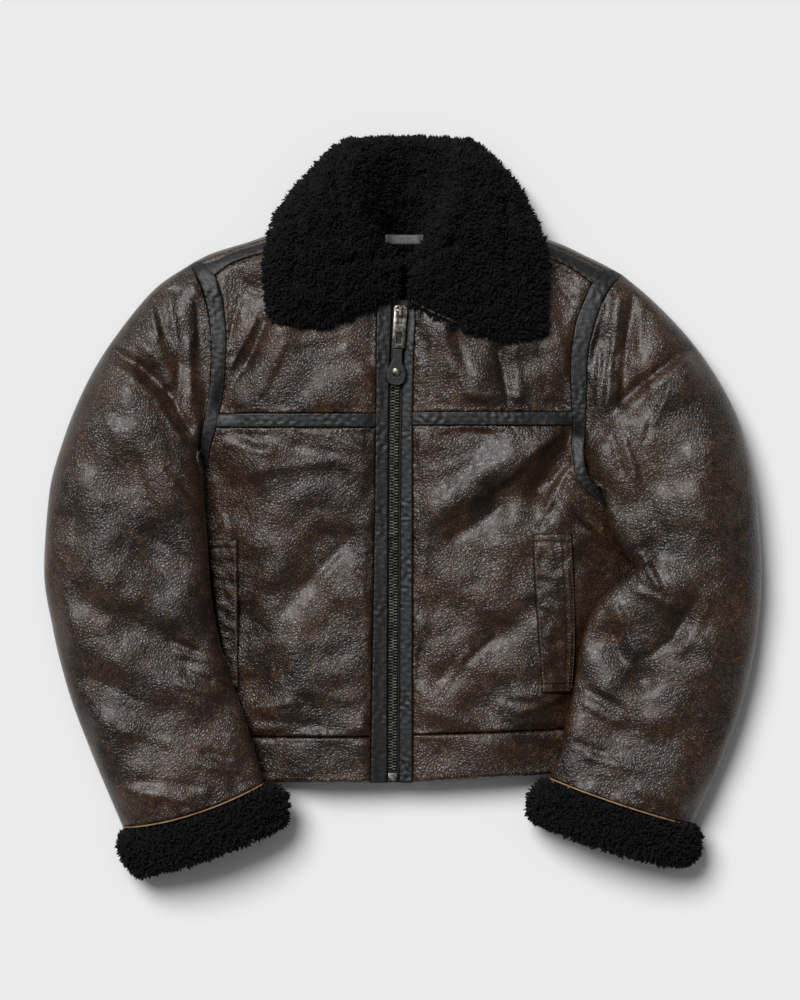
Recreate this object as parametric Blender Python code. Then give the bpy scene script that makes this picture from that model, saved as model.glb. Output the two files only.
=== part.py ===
"""Sheepskin flight jacket laid flat on its back: every cut piece is its own wall of cloth.

Plan places are on a drawing grid whose steps are STEP mm, x to the right and y down the jacket,
and heights are mm over the floor. Left and right are as seen from above, collar away.
"""

import bmesh
import bpy
import numpy as np

STEP = 1.05  # mm in one step of the drawing grid
MIDDLE = (402.8, 505.75)  # grid place of the origin
WALL = 4.0  # skin with its wool, pressed flat
BINDING = 1.0  # how far the black bindings stand proud
PLACKET = 1.4
GAP = 0.2  # mm that each piece keeps from a seam line
SHOULDER_Z = 24.0  # height of the fold that runs round the shoulders
SIDE_Z = 14.0  # height of the side seams
HOOD_WALL = 9.0  # collar skin with its long wool
BACK_HOOD_WALL = 4.5  # behind the neck, where the crest bends sharply
CUFF_WALL = 13.0

# grid y, height of the closed front beside the zip
CHEST = (
    (200, 52), (260, 57), (300, 60), (350, 64), (414, 63), (480, 60), (560, 56),
    (650, 51), (737, 45), (783, 41),
)
# grid y, grid x of the zip
ZIP_LINE = ((297, 400.5), (324, 399), (360, 396.8), (400, 394.8), (500, 393.8), (783, 392.3))
# grid x, grid y of the fold round the shoulders, with the back neck between them
SHOULDER = (
    (180, 269), (190, 263.5), (202, 256.5), (220, 249.5), (244, 242.5), (262, 236),
    (300, 224), (331.6, 217), (355, 224), (403, 229), (450, 224), (467, 219), (510, 227),
    (548, 238), (570, 247), (590, 257), (606, 264.5), (622, 273.5), (632, 279),
)
# armhole seams, from the shoulder fold to the armpit: outer x, y and inner x, y of the binding
ARM_LEFT = (
    (190, 263.5, 191.5, 262.6), (192.5, 267, 202, 262.5), (196.5, 274, 214, 275),
    (203, 289, 219.5, 290), (208.5, 309, 223.5, 310), (211.5, 335, 226, 335),
    (212, 362, 225.5, 362), (210.5, 388, 223.5, 388), (206.5, 414, 219, 414),
    (203.5, 427, 216, 427), (201.5, 438, 212.5, 438), (200.5, 446, 210, 447),
    (201, 453, 208.5, 454), (204, 459, 207, 460),
)
ARM_RIGHT = (
    (622, 273.5, 620.5, 272.6), (619, 277, 608, 270), (611.5, 285, 593, 283),
    (602.5, 300, 585, 300), (595, 320, 577, 320), (589, 343, 573, 343),
    (586, 367, 571, 367), (586, 390, 571.5, 390), (585.5, 412.5, 572.5, 412.5),
    (585, 425, 573, 425), (583, 452, 572.5, 452), (586, 472, 576, 474),
    (592, 482, 583.5, 487), (599, 488.5, 594, 496),
)
# edge of the body below the armpit, under the sleeve, down to the hem seam: x, y
SIDE_LEFT = (
    (192, 467.5), (178, 476), (180, 500), (186, 539), (193, 575), (202, 612), (211, 650),
    (219.5, 690), (224.5, 715), (229, 738),
)
SIDE_RIGHT = (
    (622, 507.5), (640, 516), (648, 533), (652, 572), (641, 605), (628, 640), (617, 668),
    (606, 693), (598, 712), (591, 728),
)
HEM_LEFT = ((229, 738), (232, 760), (236, 783))
HEM_RIGHT = ((591, 728), (587, 749), (584, 770))
# shoulder binding: grid x, its upper and lower y (the lower line goes on as the neckline)
BAND_LEFT = ((202, 262.5), (214, 257.5), (235, 248), (260, 240.5), (300, 228), (332, 220.5))
YOKE_LEFT = (
    (214, 275), (235, 260.5), (260, 253), (300, 240), (325, 233.5), (331.6, 232.5),
    (345, 247), (360, 268), (378, 297),
)
BAND_RIGHT = ((467, 222), (478, 223), (510, 231), (548, 242.5), (575, 253.5), (590, 260.5), (608, 270))
YOKE_RIGHT = (
    (415, 300), (430, 282), (445, 262), (458, 243), (467, 234), (480, 235.5), (510, 242),
    (548, 257), (570, 266.5), (593, 283),
)
# plackets: grid y, outer x, inner x
EDGE_LEFT = ((297, 378, 392), (324, 377.5, 391), (360, 377, 389.5), (420, 376.5, 388), (783, 371, 387))
EDGE_RIGHT = ((300, 415, 409), (324, 414.5, 407), (360, 413, 404), (420, 412, 402), (783, 412, 399.5))
# the right welt's outer edge: grid y, x
WELT_EDGE = ((530, 572), (640, 576.5), (694, 573))
# pocket's inner edge: grid y, x
POCKET_LEFT = ((275, 262), (414, 238), (783, 238))
POCKET_RIGHT = ((283, 545), (412, 532), (533, 532), (693, 542), (783, 547))
# sleeves, from armhole to cuff: place along, outer x, y, inner x, y, height, height of the inner
# edge, bow towards the cuff
SLEEVE_LEFT = (
    (0.00, 190, 263.5, 204, 459, 56, 44, 0), (0.08, 158, 285, 204, 472, 66, 48, 0),
    (0.17, 119, 330, 204, 486, 72, 49, 0), (0.27, 90, 375, 205, 502, 75, 49, 0),
    (0.37, 64, 435, 206, 521, 76, 48, 0), (0.47, 48, 495, 208, 545, 76, 47, 0),
    (0.58, 43, 570, 212, 600, 74, 46, 0), (0.69, 52, 630, 221, 645, 71, 44, 0),
    (0.80, 67, 690, 235, 690, 68, 43, 1), (0.91, 90, 752, 251, 737, 66, 42, 4),
    (1.00, 122, 828, 264, 783, 64, 40, 8),
)
SLEEVE_RIGHT = (
    (0.00, 622, 273.5, 599, 488.5, 56, 46, 0), (0.08, 650, 297, 607, 496, 66, 49, 0),
    (0.17, 689, 337, 607, 511, 71, 50, 0), (0.27, 719, 379, 611, 531, 74, 50, 0),
    (0.36, 741, 423, 621, 550, 75, 49, 0), (0.44, 752, 464, 635, 571, 75, 47, 0),
    (0.49, 758, 500, 619, 582, 74, 46, 0), (0.56, 763, 570, 602, 596, 73, 46, 0),
    (0.67, 758, 637, 584, 630, 71, 45, 0), (0.79, 743, 706, 573, 690, 68, 43, 0),
    (0.90, 720, 768, 562, 737, 66, 42, 1), (1.00, 693, 826, 550, 778, 64, 40, 2),
)
# cuffs: place along, outer x, y, inner x, y, bow
CUFF_LEFT = (
    (0.0, 121.8, 828.5, 264.3, 783.5, 8), (0.12, 118, 839, 276, 785, 8), (0.35, 118, 851, 287, 794, 7),
    (0.65, 123, 864, 291, 809, 6), (0.88, 134, 875, 285, 822, 6), (1.0, 145, 879, 275, 831, 6),
)
CUFF_RIGHT = (
    (0.0, 693.2, 826.5, 549.7, 778.5, 2), (0.12, 700, 833, 536, 782, 3), (0.35, 703, 842, 529, 791, 4),
    (0.65, 700, 855, 526, 804, 6), (0.88, 690, 865, 529, 816, 7), (1.0, 680, 869, 538, 822, 8),
)
# collar, from its left front end round the back to the right one: place along, foot x, y, z,
# crest x, y, z, outer edge x, y
COLLAR = (
    (0.00, 403.0, 258, 56, 401.5, 281, 68, 400.5, 301), (0.07, 400, 252, 50, 388, 276, 76, 372, 311),
    (0.14, 397, 248, 44, 371, 262, 84, 322, 331), (0.21, 394, 244, 38, 357, 238, 90, 267, 318),
    (0.28, 392, 241, 33, 348, 208, 90, 261, 270), (0.35, 390, 239, 28, 348, 182, 82, 269, 218),
    (0.40, 391, 238, 21, 358, 160, 68, 306, 168), (0.44, 394, 237, 16.5, 378, 148, 52, 346, 135),
    (0.50, 404, 236, 13.3, 408, 145, 38, 407, 132.5), (0.56, 414, 237, 16.5, 440, 149, 52, 469, 136),
    (0.60, 418, 238, 21, 456, 162, 68, 508, 165), (0.65, 420, 239, 28, 457, 184, 82, 538, 212),
    (0.72, 419, 241, 33, 452, 210, 90, 551, 268), (0.79, 417, 244, 38, 447, 238, 90, 549, 332),
    (0.86, 414, 248, 44, 438, 262, 84, 507, 344), (0.93, 410, 252, 50, 422, 276, 76, 440, 322),
    (1.00, 407.5, 258, 56, 407.5, 282, 68, 406, 305),
)
# largest folds of the body: x, y of one end, x, y of the other, half width mm, height mm
BODY_FOLDS = (
    (262, 325, 226, 402, 12, -6), (282, 335, 246, 400, 14, 3), (300, 372, 340, 380, 30, 3),
    (445, 335, 470, 378, 26, 5), (499, 352, 507, 398, 12, -4), (545, 330, 550, 390, 20, 3),
    (572, 438, 540, 490, 14, -8), (540, 490, 531, 520, 14, -6), (552, 440, 440, 510, 16, 6),
    (500, 500, 440, 545, 18, -4), (250, 462, 345, 455, 18, 4), (350, 540, 290, 600, 22, -5),
    (495, 635, 440, 682, 15, -5), (505, 705, 552, 692, 13, 4), (248, 712, 290, 706, 12, 3),
)
# largest folds of the sleeves
LEFT_FOLDS = (
    (105, 352, 150, 376, 13, -7), (150, 376, 188, 424, 13, -7), (110, 388, 160, 470, 26, 5),
    (158, 300, 168, 340, 13, -5), (176, 312, 178, 396, 12, -5), (120, 520, 170, 560, 24, -4),
    (80, 600, 190, 650, 18, -4), (130, 795, 180, 800, 16, 4), (110, 690, 205, 722, 20, -4),
)
RIGHT_FOLDS = (
    (634, 306, 624, 396, 13, -7), (690, 352, 640, 388, 13, -6), (640, 388, 602, 428, 13, -5),
    (688, 366, 646, 436, 14, 5), (645, 575, 700, 600, 16, 5), (606, 640, 640, 678, 18, -7),
    (640, 678, 690, 606, 18, -6), (700, 470, 730, 560, 30, 4), (600, 740, 690, 730, 20, -4),
)

def smooth(table, column, at):
    """A column of a table between its rows, on cubics that never overshoot."""
    rows = np.array(table, float)
    x, y = rows[:, 0], rows[:, column]
    h, d = np.diff(x), np.diff(y) / np.diff(x)
    slope = np.concatenate([d[:1], np.zeros(len(x) - 2), d[-1:]])
    for i in range(1, len(x) - 1):
        if d[i - 1] * d[i] > 0:
            a, b = 2 * h[i] + h[i - 1], h[i] + 2 * h[i - 1]
            slope[i] = (a + b) / (a / d[i - 1] + b / d[i])
    at = np.clip(at, x[0], x[-1])
    i = np.clip(np.searchsorted(x, at, side="right") - 1, 0, len(h) - 1)
    t = (at - x[i]) / h[i]
    return (
        (2 * t**3 - 3 * t**2 + 1) * y[i] + (t**3 - 2 * t**2 + t) * h[i] * slope[i]
        + (3 * t**2 - 2 * t**3) * y[i + 1] + (t**3 - t**2) * h[i] * slope[i + 1]
    )


def ease(t):
    t = np.clip(t, 0.0, 1.0)
    return t * t * (3 - 2 * t)


def round_in(distance, reach):
    """0 on an edge with an upright start, 1 from reach inwards."""
    return np.sqrt(np.maximum(1 - (1 - np.clip(distance / reach, 0.0, 1.0)) ** 2, 0.0))


def folds(table, x, y):
    """Soft ridges and troughs, each along the line between its two ends."""
    total = np.zeros(np.broadcast(x, y).shape)
    for x0, y0, x1, y1, half, height in table:
        dx, dy = x1 - x0, y1 - y0
        t = np.clip(((x - x0) * dx + (y - y0) * dy) / (dx * dx + dy * dy), 0, 1)
        off = np.hypot(x - x0 - t * dx, y - y0 - t * dy) * STEP
        total = total + height * np.exp(-((off / half) ** 2))
    return total


def side_line(rows, y):
    """Grid x of the body's edge below the armpit, held above and below its rows."""
    rows = [row for row in rows[1:]]
    return np.interp(y, [r[1] for r in rows], [r[0] for r in rows])


LEFT_EDGE = SIDE_LEFT + HEM_LEFT[1:]
RIGHT_EDGE = SIDE_RIGHT + HEM_RIGHT[1:]


def from_side(x, y):
    """Distance in mm from the nearer side edge of the body, and whether that is the left one."""
    left = x < 400
    near = np.where(left, x - side_line(LEFT_EDGE, y), side_line(RIGHT_EDGE, y) - x)
    return near * STEP, left


def front_height(x, y):
    """Outer height of the body's upper layer."""
    off_zip = (x - smooth(ZIP_LINE, 1, y)) * STEP
    full = smooth(CHEST, 1, y) - 5 * np.exp(-((off_zip / 26) ** 4))
    to_arm = 1 - 0.17 * ease((np.abs(off_zip) - 110) / 80)
    edge = round_in((y - smooth(SHOULDER, 1, x)) * STEP, 46)
    upper = SHOULDER_Z + (full * to_arm - SHOULDER_Z) * edge
    near, left = from_side(x, y)
    swell = 0.25 * round_in(near, 14) + 0.75 * ease(near / 100)
    lower = SIDE_Z + GAP + (full - SIDE_Z) * swell
    low = np.where(left, ease((y - 425) / 75), ease((y - 455) / 75))
    return upper * (1 - low) + lower * low + folds(BODY_FOLDS, x, y)


def back_height(x, y):
    """Height of the underside, which turns up at the sides and round the shoulders."""
    near, left = from_side(x, y)
    begins = np.where(left, ease((y - 459) / 30), ease((y - 499) / 30))
    side = (SIDE_Z - GAP) * (1 - round_in(near, 12)) * begins
    beside_neck = np.maximum(ease((345 - x) / 13), ease((x - 453) / 13))
    turn = SHOULDER_Z * (1 - round_in((y - smooth(SHOULDER, 1, x)) * STEP, 26))
    return side + turn * beside_neck


def over_body(x, y, clear=5.0):
    """Lowest height that a sleeve or cuff may have here: just over the body, or the floor."""
    near, left = from_side(x, y)
    hem = (np.where(left, 783.0, 770 + (584 - x) * 0.08) - y) * STEP
    inside = ease(np.minimum(near + 20, hem + 42) / 15)
    starts = np.where(left, ease((y - 436) / 22), ease((y - 468) / 22))
    return (front_height(x, y) + clear) * inside * starts


def mm(x, y, z):
    """Grid places and heights as points in mm from the origin."""
    x, y, z = np.broadcast_arrays(x, y, z)
    return np.stack([(x - MIDDLE[0]) * STEP, (MIDDLE[1] - y) * STEP, z], axis=-1)


def unit(v):
    return v / np.linalg.norm(v, axis=-1, keepdims=True)


def height_normals(height, x, y):
    """Unit normals of the surface z = height(x, y), pointing up."""
    e = 0.005
    sx = (height(x + e, y) - height(x - e, y)) / (2 * e * STEP)
    sy = (height(x, y + e) - height(x, y - e)) / (-2 * e * STEP)
    return unit(np.stack([-sx, -sy, np.ones_like(sx)], axis=-1))


def path_normals(path, u, v):
    """Unit normals of a surface given as points path(u, v), turned up where it faces up."""
    e = 1e-5
    lo_u, hi_u = np.maximum(u - e, 0), np.minimum(u + e, 1)
    lo_v, hi_v = np.maximum(v - e, 0), np.minimum(v + e, 1)
    du = (path(hi_u, v) - path(lo_u, v)) / (hi_u - lo_u)[..., None]
    dv = (path(u, hi_v) - path(u, lo_v)) / (hi_v - lo_v)[..., None]
    return unit(np.cross(du, dv))


def colour(name, rgb, rough, metal=0.0):
    material = bpy.data.materials.new(name)
    material.use_nodes = True
    shader = material.node_tree.nodes["Principled BSDF"]
    shader.inputs["Base Color"].default_value = (*rgb, 1)
    shader.inputs["Roughness"].default_value = rough
    shader.inputs["Metallic"].default_value = metal
    material.diffuse_color = (*rgb, 1)
    return material


BROWN, BLACK, WOOL, METAL, RIBBON = (
    ((0.045, 0.026, 0.018), 0.45), ((0.012, 0.013, 0.014), 0.4), ((0.006, 0.006, 0.006), 0.95),
    ((0.25, 0.24, 0.23), 0.35, 1.0), ((0.02, 0.02, 0.02), 0.8),
)


def add_mesh(name, points, faces, look):
    """A named object from points in mm and faces, turned outwards."""
    mesh = bpy.data.meshes.new(name)
    mesh.from_pydata([tuple(p) for p in np.asarray(points) / 1000], [], faces)
    work = bmesh.new()
    work.from_mesh(mesh)
    bmesh.ops.recalc_face_normals(work, faces=work.faces)
    work.to_mesh(mesh)
    work.free()
    mesh.materials.append(colour(name, *look))
    item = bpy.data.objects.new(name, mesh)
    bpy.context.collection.objects.link(item)
    return item


def wall(name, outer, inner, look, ring=False):
    """The closed wall between two grids of points; a ring joins its last column to its first."""
    rows, columns = outer.shape[:2]
    points = np.concatenate([outer.reshape(-1, 3), inner.reshape(-1, 3)])
    under = rows * columns

    def at(row, column):
        return row * columns + column % columns

    faces = []
    for r in range(rows - 1):
        for c in range(columns if ring else columns - 1):
            quad = (at(r, c), at(r, c + 1), at(r + 1, c + 1), at(r + 1, c))
            faces += [quad, tuple(under + q for q in reversed(quad))]
    for c in range(columns if ring else columns - 1):
        for r in (0, rows - 1):
            faces.append((at(r, c), at(r, c + 1), under + at(r, c + 1), under + at(r, c)))
    if not ring:
        for r in range(rows - 1):
            for c in (0, columns - 1):
                faces.append((at(r, c), at(r + 1, c), under + at(r + 1, c), under + at(r, c)))
    return add_mesh(name, points, faces, look)


def panel(name, height, x, y, look, proud=0.0, thick=WALL, seam_from=None):
    """A wall on the surface z = height(x, y), through a grid of plan places.

    From row seam_from on, its last column is a side seam, where the wall stands level.
    """
    base = mm(x, y, height(x, y))
    normal = height_normals(height, x, y)
    if seam_from is not None:
        normal[seam_from:, -1] = (np.sign(base[0, -1, 0]), 0, 0)
    return wall(name, base + normal * proud, base + normal * (proud - thick), look)


def seamed(x, y):
    """Plan places with all four borders drawn in by GAP."""
    x, y = x.copy(), y.copy()
    step = GAP / STEP
    for first, second in ((np.s_[:, 0], np.s_[:, 1]), (np.s_[:, -1], np.s_[:, -2]),
                          (np.s_[0, :], np.s_[1, :]), (np.s_[-1, :], np.s_[-2, :])):
        dx, dy = x[second] - x[first], y[second] - y[first]
        length = np.maximum(np.hypot(dx, dy), 1e-9)
        x[first] += dx / length * step
        y[first] += dy / length * step
    return x, y


ACROSS = np.array([0, 0.12, 0.24, 0.36, 0.48, 0.6, 0.73, 0.86, 0.96, 1.0])


def spread(u, at_zip, at_pocket, at_side):
    """Grid x of a column, which keeps the pocket's inner edge on a line of its own."""
    near = at_zip + (at_pocket - at_zip) * u / 0.6
    return np.where(u < 0.6, near, at_pocket + (at_side - at_pocket) * (u - 0.6) / 0.4)


class Half:
    """The tables of one half of the front."""

    def __init__(self, word, arm, side, hem, band, yoke, edge, pocket, seam_y, folds_of, sleeve, cuff):
        self.word, self.arm, self.side, self.hem = word, np.array(arm, float), side, hem
        self.band, self.yoke, self.edge, self.pocket = band, yoke, edge, pocket
        self.seam_y, self.folds, self.sleeve, self.cuff = seam_y, folds_of, sleeve, cuff
        self.top, self.bottom = edge[0][0], 783.0
        inner = self.arm[2:9, 3]
        self.rise = (inner[-1] - inner) / (inner[-1] - inner[0])

    def yoke_plan(self):
        """Grid of the yoke, from the shoulder and neckline down to the yoke binding."""
        u, v = ACROSS[None, :], self.rise[:, None]
        zip_y = self.arm[8, 3] + (self.top - self.arm[8, 3]) * v
        ends = [smooth(self.pocket, 1, self.arm[i, 3]) for i in (8, 2)]
        pocket = ends[0] + (ends[1] - ends[0]) * v
        x = spread(u, smooth(self.edge, 1, zip_y), pocket, self.arm[2:9, 2][:, None])
        y = self.arm[8, 3] + v * (smooth(self.yoke, 1, x[0])[None, :] - self.arm[8, 3])
        y[:, 0], y[:, -1] = zip_y[:, 0], self.arm[2:9, 3]
        return x, y

    def front_rows(self):
        """Side x, side y and zip y of the rows of the lower front."""
        rows = [(r[2], r[3]) for r in self.arm[9:]] + list(self.side)
        return np.array([(x, y, y + self.seam_y * np.clip((y - 640) / 90, 0, 1) ** 2) for x, y in rows])

    def hem_rows(self):
        drop = (self.bottom - self.hem[-1][1], self.seam_y)
        return np.array([
            (x, y, y + drop[1] + (drop[0] - drop[1]) * i / 2) for i, (x, y) in enumerate(self.hem)
        ])

    def rows_plan(self, rows, columns=ACROSS):
        u = columns[None, :]
        zip_x, side_x = smooth(self.edge, 1, rows[:, 2]), rows[:, 0]
        pocket = smooth(self.pocket, 1, rows[:, 1])
        x = spread(u, zip_x[:, None], pocket[:, None], side_x[:, None])
        return x, rows[:, 2][:, None] + (rows[:, 1] - rows[:, 2])[:, None] * u

    def zip_stops(self):
        """Grid y of every row line where it meets the placket."""
        return np.concatenate([self.yoke_plan()[1][:, 0], self.front_rows()[:, 2], self.hem_rows()[1:, 2]])

    def band_plan(self):
        """Grid of the shoulder binding, from the armhole in to the neck."""
        x, y = self.yoke_plan()
        u, lower_x, lower_y = ACROSS[2:], x[0, 2:], y[0, 2:]
        upper_x = lower_x + (self.arm[1, 2] - self.arm[2, 2]) * (u - 0.24) / 0.76
        upper_y = smooth(self.band, 1, upper_x)
        upper_y[-1] = self.arm[1, 3]
        return np.stack([upper_x, lower_x]), np.stack([upper_y, lower_y])


LEFT = Half("left", ARM_LEFT, SIDE_LEFT, HEM_LEFT, BAND_LEFT, YOKE_LEFT, EDGE_LEFT, POCKET_LEFT,
            -1.0, LEFT_FOLDS, SLEEVE_LEFT, CUFF_LEFT)
RIGHT = Half("right", ARM_RIGHT, SIDE_RIGHT, HEM_RIGHT, BAND_RIGHT, YOKE_RIGHT, EDGE_RIGHT, POCKET_RIGHT,
             7.0, RIGHT_FOLDS, SLEEVE_RIGHT, CUFF_RIGHT)


def add_front(half):
    x, y = half.yoke_plan()
    panel("yoke_" + half.word, front_height, *seamed(x, y), BROWN)
    x, y = half.rows_plan(half.front_rows())
    sx, sy = seamed(x, y)
    sx[5:, -1], sy[5:-1, -1] = x[5:, -1], y[5:-1, -1]
    panel("front_" + half.word, front_height, sx, sy, BROWN, seam_from=7)
    x, y = half.rows_plan(half.hem_rows())
    sx, sy = seamed(x, y)
    sx[:, -1] = x[:, -1]
    panel("hem_front_" + half.word, front_height, sx, sy, BROWN, proud=0.4, seam_from=0)
    seam = np.array([(half.arm[i, 2], half.arm[i, 3], half.arm[i, 3]) for i in (8, 9)])
    panel("yoke_binding_" + half.word, front_height, *seamed(*half.rows_plan(seam)), BLACK, BINDING)
    panel("shoulder_binding_" + half.word, front_height, *seamed(*half.band_plan()), BLACK, BINDING)
    x, y = half.arm[:, [0, 2]], half.arm[:, [1, 3]]
    panel("armhole_binding_" + half.word, front_height, *seamed(x, y), BLACK, BINDING)
    stops = half.zip_stops()[:, None]
    x = np.concatenate([smooth(half.edge, 1, stops), smooth(half.edge, 2, stops)], axis=1)
    panel("placket_" + half.word, front_height, *seamed(x, stops + 0 * x), BLACK, PLACKET)
    x = np.concatenate([smooth(half.edge, 2, stops), smooth(ZIP_LINE, 1, stops)], axis=1)
    panel("zip_tape_" + half.word, front_height, *seamed(x, stops + 0 * x), RIBBON, -2.0, 1.5)
    rows = half.front_rows()
    first, last = (8, 12) if half is LEFT else (7, 12)
    columns = ACROSS[5:8] if half is LEFT else ACROSS[5:7]
    x, y = half.rows_plan(rows[first : last + 1], columns)
    if half is RIGHT:
        share = np.linspace(0, 1, 4)
        x = x[:, :1] + (smooth(WELT_EDGE, 1, y[:, -1:]) - x[:, :1]) * share
        y = y[:, :1] + (y[:, -1:] - y[:, :1]) * share
    panel("pocket_welt_" + half.word, front_height, x, y, BROWN, 3.7, 2.6)


def back_columns():
    """Shares of the width at which the back's columns stand, from the shoulder bindings' own."""
    left, right = LEFT.band_plan()[0][0], RIGHT.band_plan()[0][0]
    neck = np.linspace(left[0], right[0], 7)[1:-1]
    x = np.concatenate([left[::-1], neck, right])
    return (x - x[0]) / (x[-1] - x[0])


def add_back():
    share = back_columns()[None, :]
    ends = [
        np.array([(r[0], r[1]) for r in half.arm] + list(half.side)) for half in (LEFT, RIGHT)
    ]
    x = ends[0][:, :1] + (ends[1][:, :1] - ends[0][:, :1]) * share
    y = ends[0][:, 1:] + (ends[1][:, 1:] - ends[0][:, 1:]) * share
    down = [(e[:9, 1:] - e[0, 1]) / (e[8, 1] - e[0, 1]) for e in ends]
    down = down[0] + (down[1] - down[0]) * share
    fold = smooth(SHOULDER, 1, x[:9])
    edge = fold[:1]
    y[:9] = edge + down * (y[8:9] - edge)
    y[0] = smooth(SHOULDER, 1, x[0])
    sx, sy = seamed(x, y)
    sx[15:, [0, -1]], sx[0], sy[0] = x[15:, [0, -1]], x[0], y[0]
    z = back_height(sx, sy)
    lower, lower_n = mm(sx, sy, z), -height_normals(back_height, sx, sy)
    lower_n[16:, 0], lower_n[16:, -1] = (-1, 0, 0), (1, 0, 0)
    # the same columns go on over the shoulder fold to the shoulder bindings
    left, right = LEFT.band_plan(), RIGHT.band_plan()
    first, last = x[0, 0], x[0, -1]
    rows_x, rows_y, rows_z, rows_n = [], [], [], []
    beside = np.maximum(ease((345 - x[0]) / 13), ease((x[0] - 453) / 13))
    for part in (0.12, 0.45, 1.0):
        lo, hi = first + (left[0][0][-1] - first) * part, last + (right[0][0][-1] - last) * part
        px = lo + (hi - lo) * share[0]
        rim = smooth(SHOULDER, 1, px)
        line = np.where(px < 403, smooth(BAND_LEFT, 1, px), smooth(BAND_RIGHT, 1, px))
        py = rim + (line - rim) * part
        flat = y[0] - 6 * part
        top = front_height(px, py - (GAP / STEP if part == 1 else 0))
        py = py - (GAP / STEP if part == 1 else 0)
        n = height_normals(front_height, px, py)
        rows_x.append(px)
        rows_y.append(beside * py + (1 - beside) * flat)
        rows_z.append(beside * top + (1 - beside) * 0.0)
        rows_n.append(unit(beside[:, None] * n + (1 - beside[:, None]) * np.array([0, 0, -1.0])))
    upper = mm(np.array(rows_x), np.array(rows_y), np.array(rows_z))
    outer = np.concatenate([upper[::-1], lower])
    normal = np.concatenate([np.array(rows_n)[::-1], lower_n])
    rim_row = 3
    side = np.array([0, 1.0, 0])
    normal[rim_row] = unit(beside[:, None] * side + (1 - beside[:, None]) * np.array([0, 0, -1.0]))
    wall("back_panel", outer, outer - normal * WALL, BROWN)
    rows = [half.hem_rows() for half in (LEFT, RIGHT)]
    hx = rows[0][:, :1] + (rows[1][:, :1] - rows[0][:, :1]) * share
    hy = rows[0][:, 1:2] + (rows[1][:, 1:2] - rows[0][:, 1:2]) * share
    hx, hy = hx.copy(), hy.copy()
    sx, sy = seamed(hx, hy)
    sx[:, [0, -1]] = hx[:, [0, -1]]
    base = mm(sx, sy, back_height(sx, sy))
    n = -height_normals(back_height, sx, sy)
    n[:, 0], n[:, -1] = (-1, 0, 0), (1, 0, 0)
    wall("hem_back", base, base - n * WALL, BROWN)


def sleeve_plan(half, v, s):
    """Plan place at v along the sleeve and s across it, from the outer edge to the inner one."""
    table = half.sleeve
    ox, oy, ix, iy = (smooth(table, c, v) for c in (1, 2, 3, 4))
    bow = smooth(table, 7, v) * 4 * s * (1 - s)
    x, y = ox + (ix - ox) * s, oy + (iy - oy) * s + bow
    length = half.arm[:, 1]
    place = (length - length[0]) / (length[-1] - length[0])
    near = 1 - ease(v / 0.3)
    first, last = half.arm[0], half.arm[-1]
    arm_x = np.interp(s, place, half.arm[:, 0]) - (first[0] + (last[0] - first[0]) * s)
    return x + arm_x * near, y


def sleeve_point(half, turn, v, upper):
    """Point of the sleeve's outer surface; turn goes from 0 on its outer edge to 1 on its inner."""
    phi, out = turn * np.pi, -1 if half is LEFT else 1
    s = (1 - np.cos(phi)) / 2
    x, y = sleeve_plan(half, v, s)
    height, rest = smooth(half.sleeve, 5, v), smooth(half.sleeve, 6, v)
    edge = SHOULDER_Z + (rest - SHOULDER_Z) * ease(s)
    near = 1 - ease(v / (0.14 - 0.09 * ease((s - 0.6) / 0.3)))
    near = near * ease(s / 0.03)  # the two sides meet all along the outer edge
    front = front_height(x, y)
    low_edge = edge + (front - edge) * near * ease((s - 0.6) / 0.4)
    floor = np.minimum(over_body(x, y), low_edge - 3)
    lower = low_edge - GAP - (low_edge - GAP - floor) * np.sin(phi) ** 0.6
    if upper:
        own = edge + GAP + (height - edge) * np.sin(phi) ** 0.75 + folds(half.folds, x, y) * np.sin(phi)
        top = own + (front + GAP - own) * near
        aside = out * 0.6 * ease((s - 0.7) / 0.2) * (1 - ease(v / 0.08))
        return mm(x + aside, y, np.maximum(top, lower + 2 * GAP + (16 + 12 * (1 - ease(v / 0.2))) * np.sin(phi) ** 0.55))
    by_arm = near * (1 - ease((s - 0.6) / 0.3))
    aside = out * (0.4 + 9 * ease((s - 0.65) / 0.25)) * (1 - ease((v - 0.06) / 0.16))
    return mm(x + aside, y, lower + (back_height(x, y) - lower) * by_arm)


def add_sleeve(half):
    length = half.arm[:, 1]
    s = (length - length[0]) / (length[-1] - length[0])
    turn = np.arccos(1 - 2 * s) / np.pi
    along = np.array([0, 0.04, 0.08, 0.13, 0.18, 0.24, 0.3, 0.37, 0.44, 0.52, 0.6, 0.68, 0.76, 0.84, 0.92, 1.0])
    u, v = np.meshgrid(turn, along)
    sign = 1.0 if half is LEFT else -1.0
    for word, upper in (("top", True), ("under", False)):
        def path(a, b, upper=upper):
            return sleeve_point(half, a, b, upper)
        start = 0.0025 + (0.0175 if upper else 0.055) * ease((u - 0.66) / 0.2)
        v2 = start + (0.9994 - start) * v
        u2 = u if upper else u * (1 - 0.3 * (1 - ease(v2 / 0.18)))
        outer = path(u2, v2)
        ends = path(u2 * 0 + 1, v2) - path(u2 * 0, v2)
        ends[..., 2] = 0
        along_section = unit(ends)
        run = path(np.minimum(u2 + 1e-5, 1), v2) - path(np.maximum(u2 - 1e-5, 0), v2)
        level = (run * along_section).sum(-1, keepdims=True)
        normal = -run[..., 2:] * along_section + level * np.array([0, 0, 1.0])
        normal = unit(normal) * (1 if upper else -1)
        wall(f"sleeve_{word}_{half.word}", outer, outer - normal * WALL, BROWN)


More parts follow.
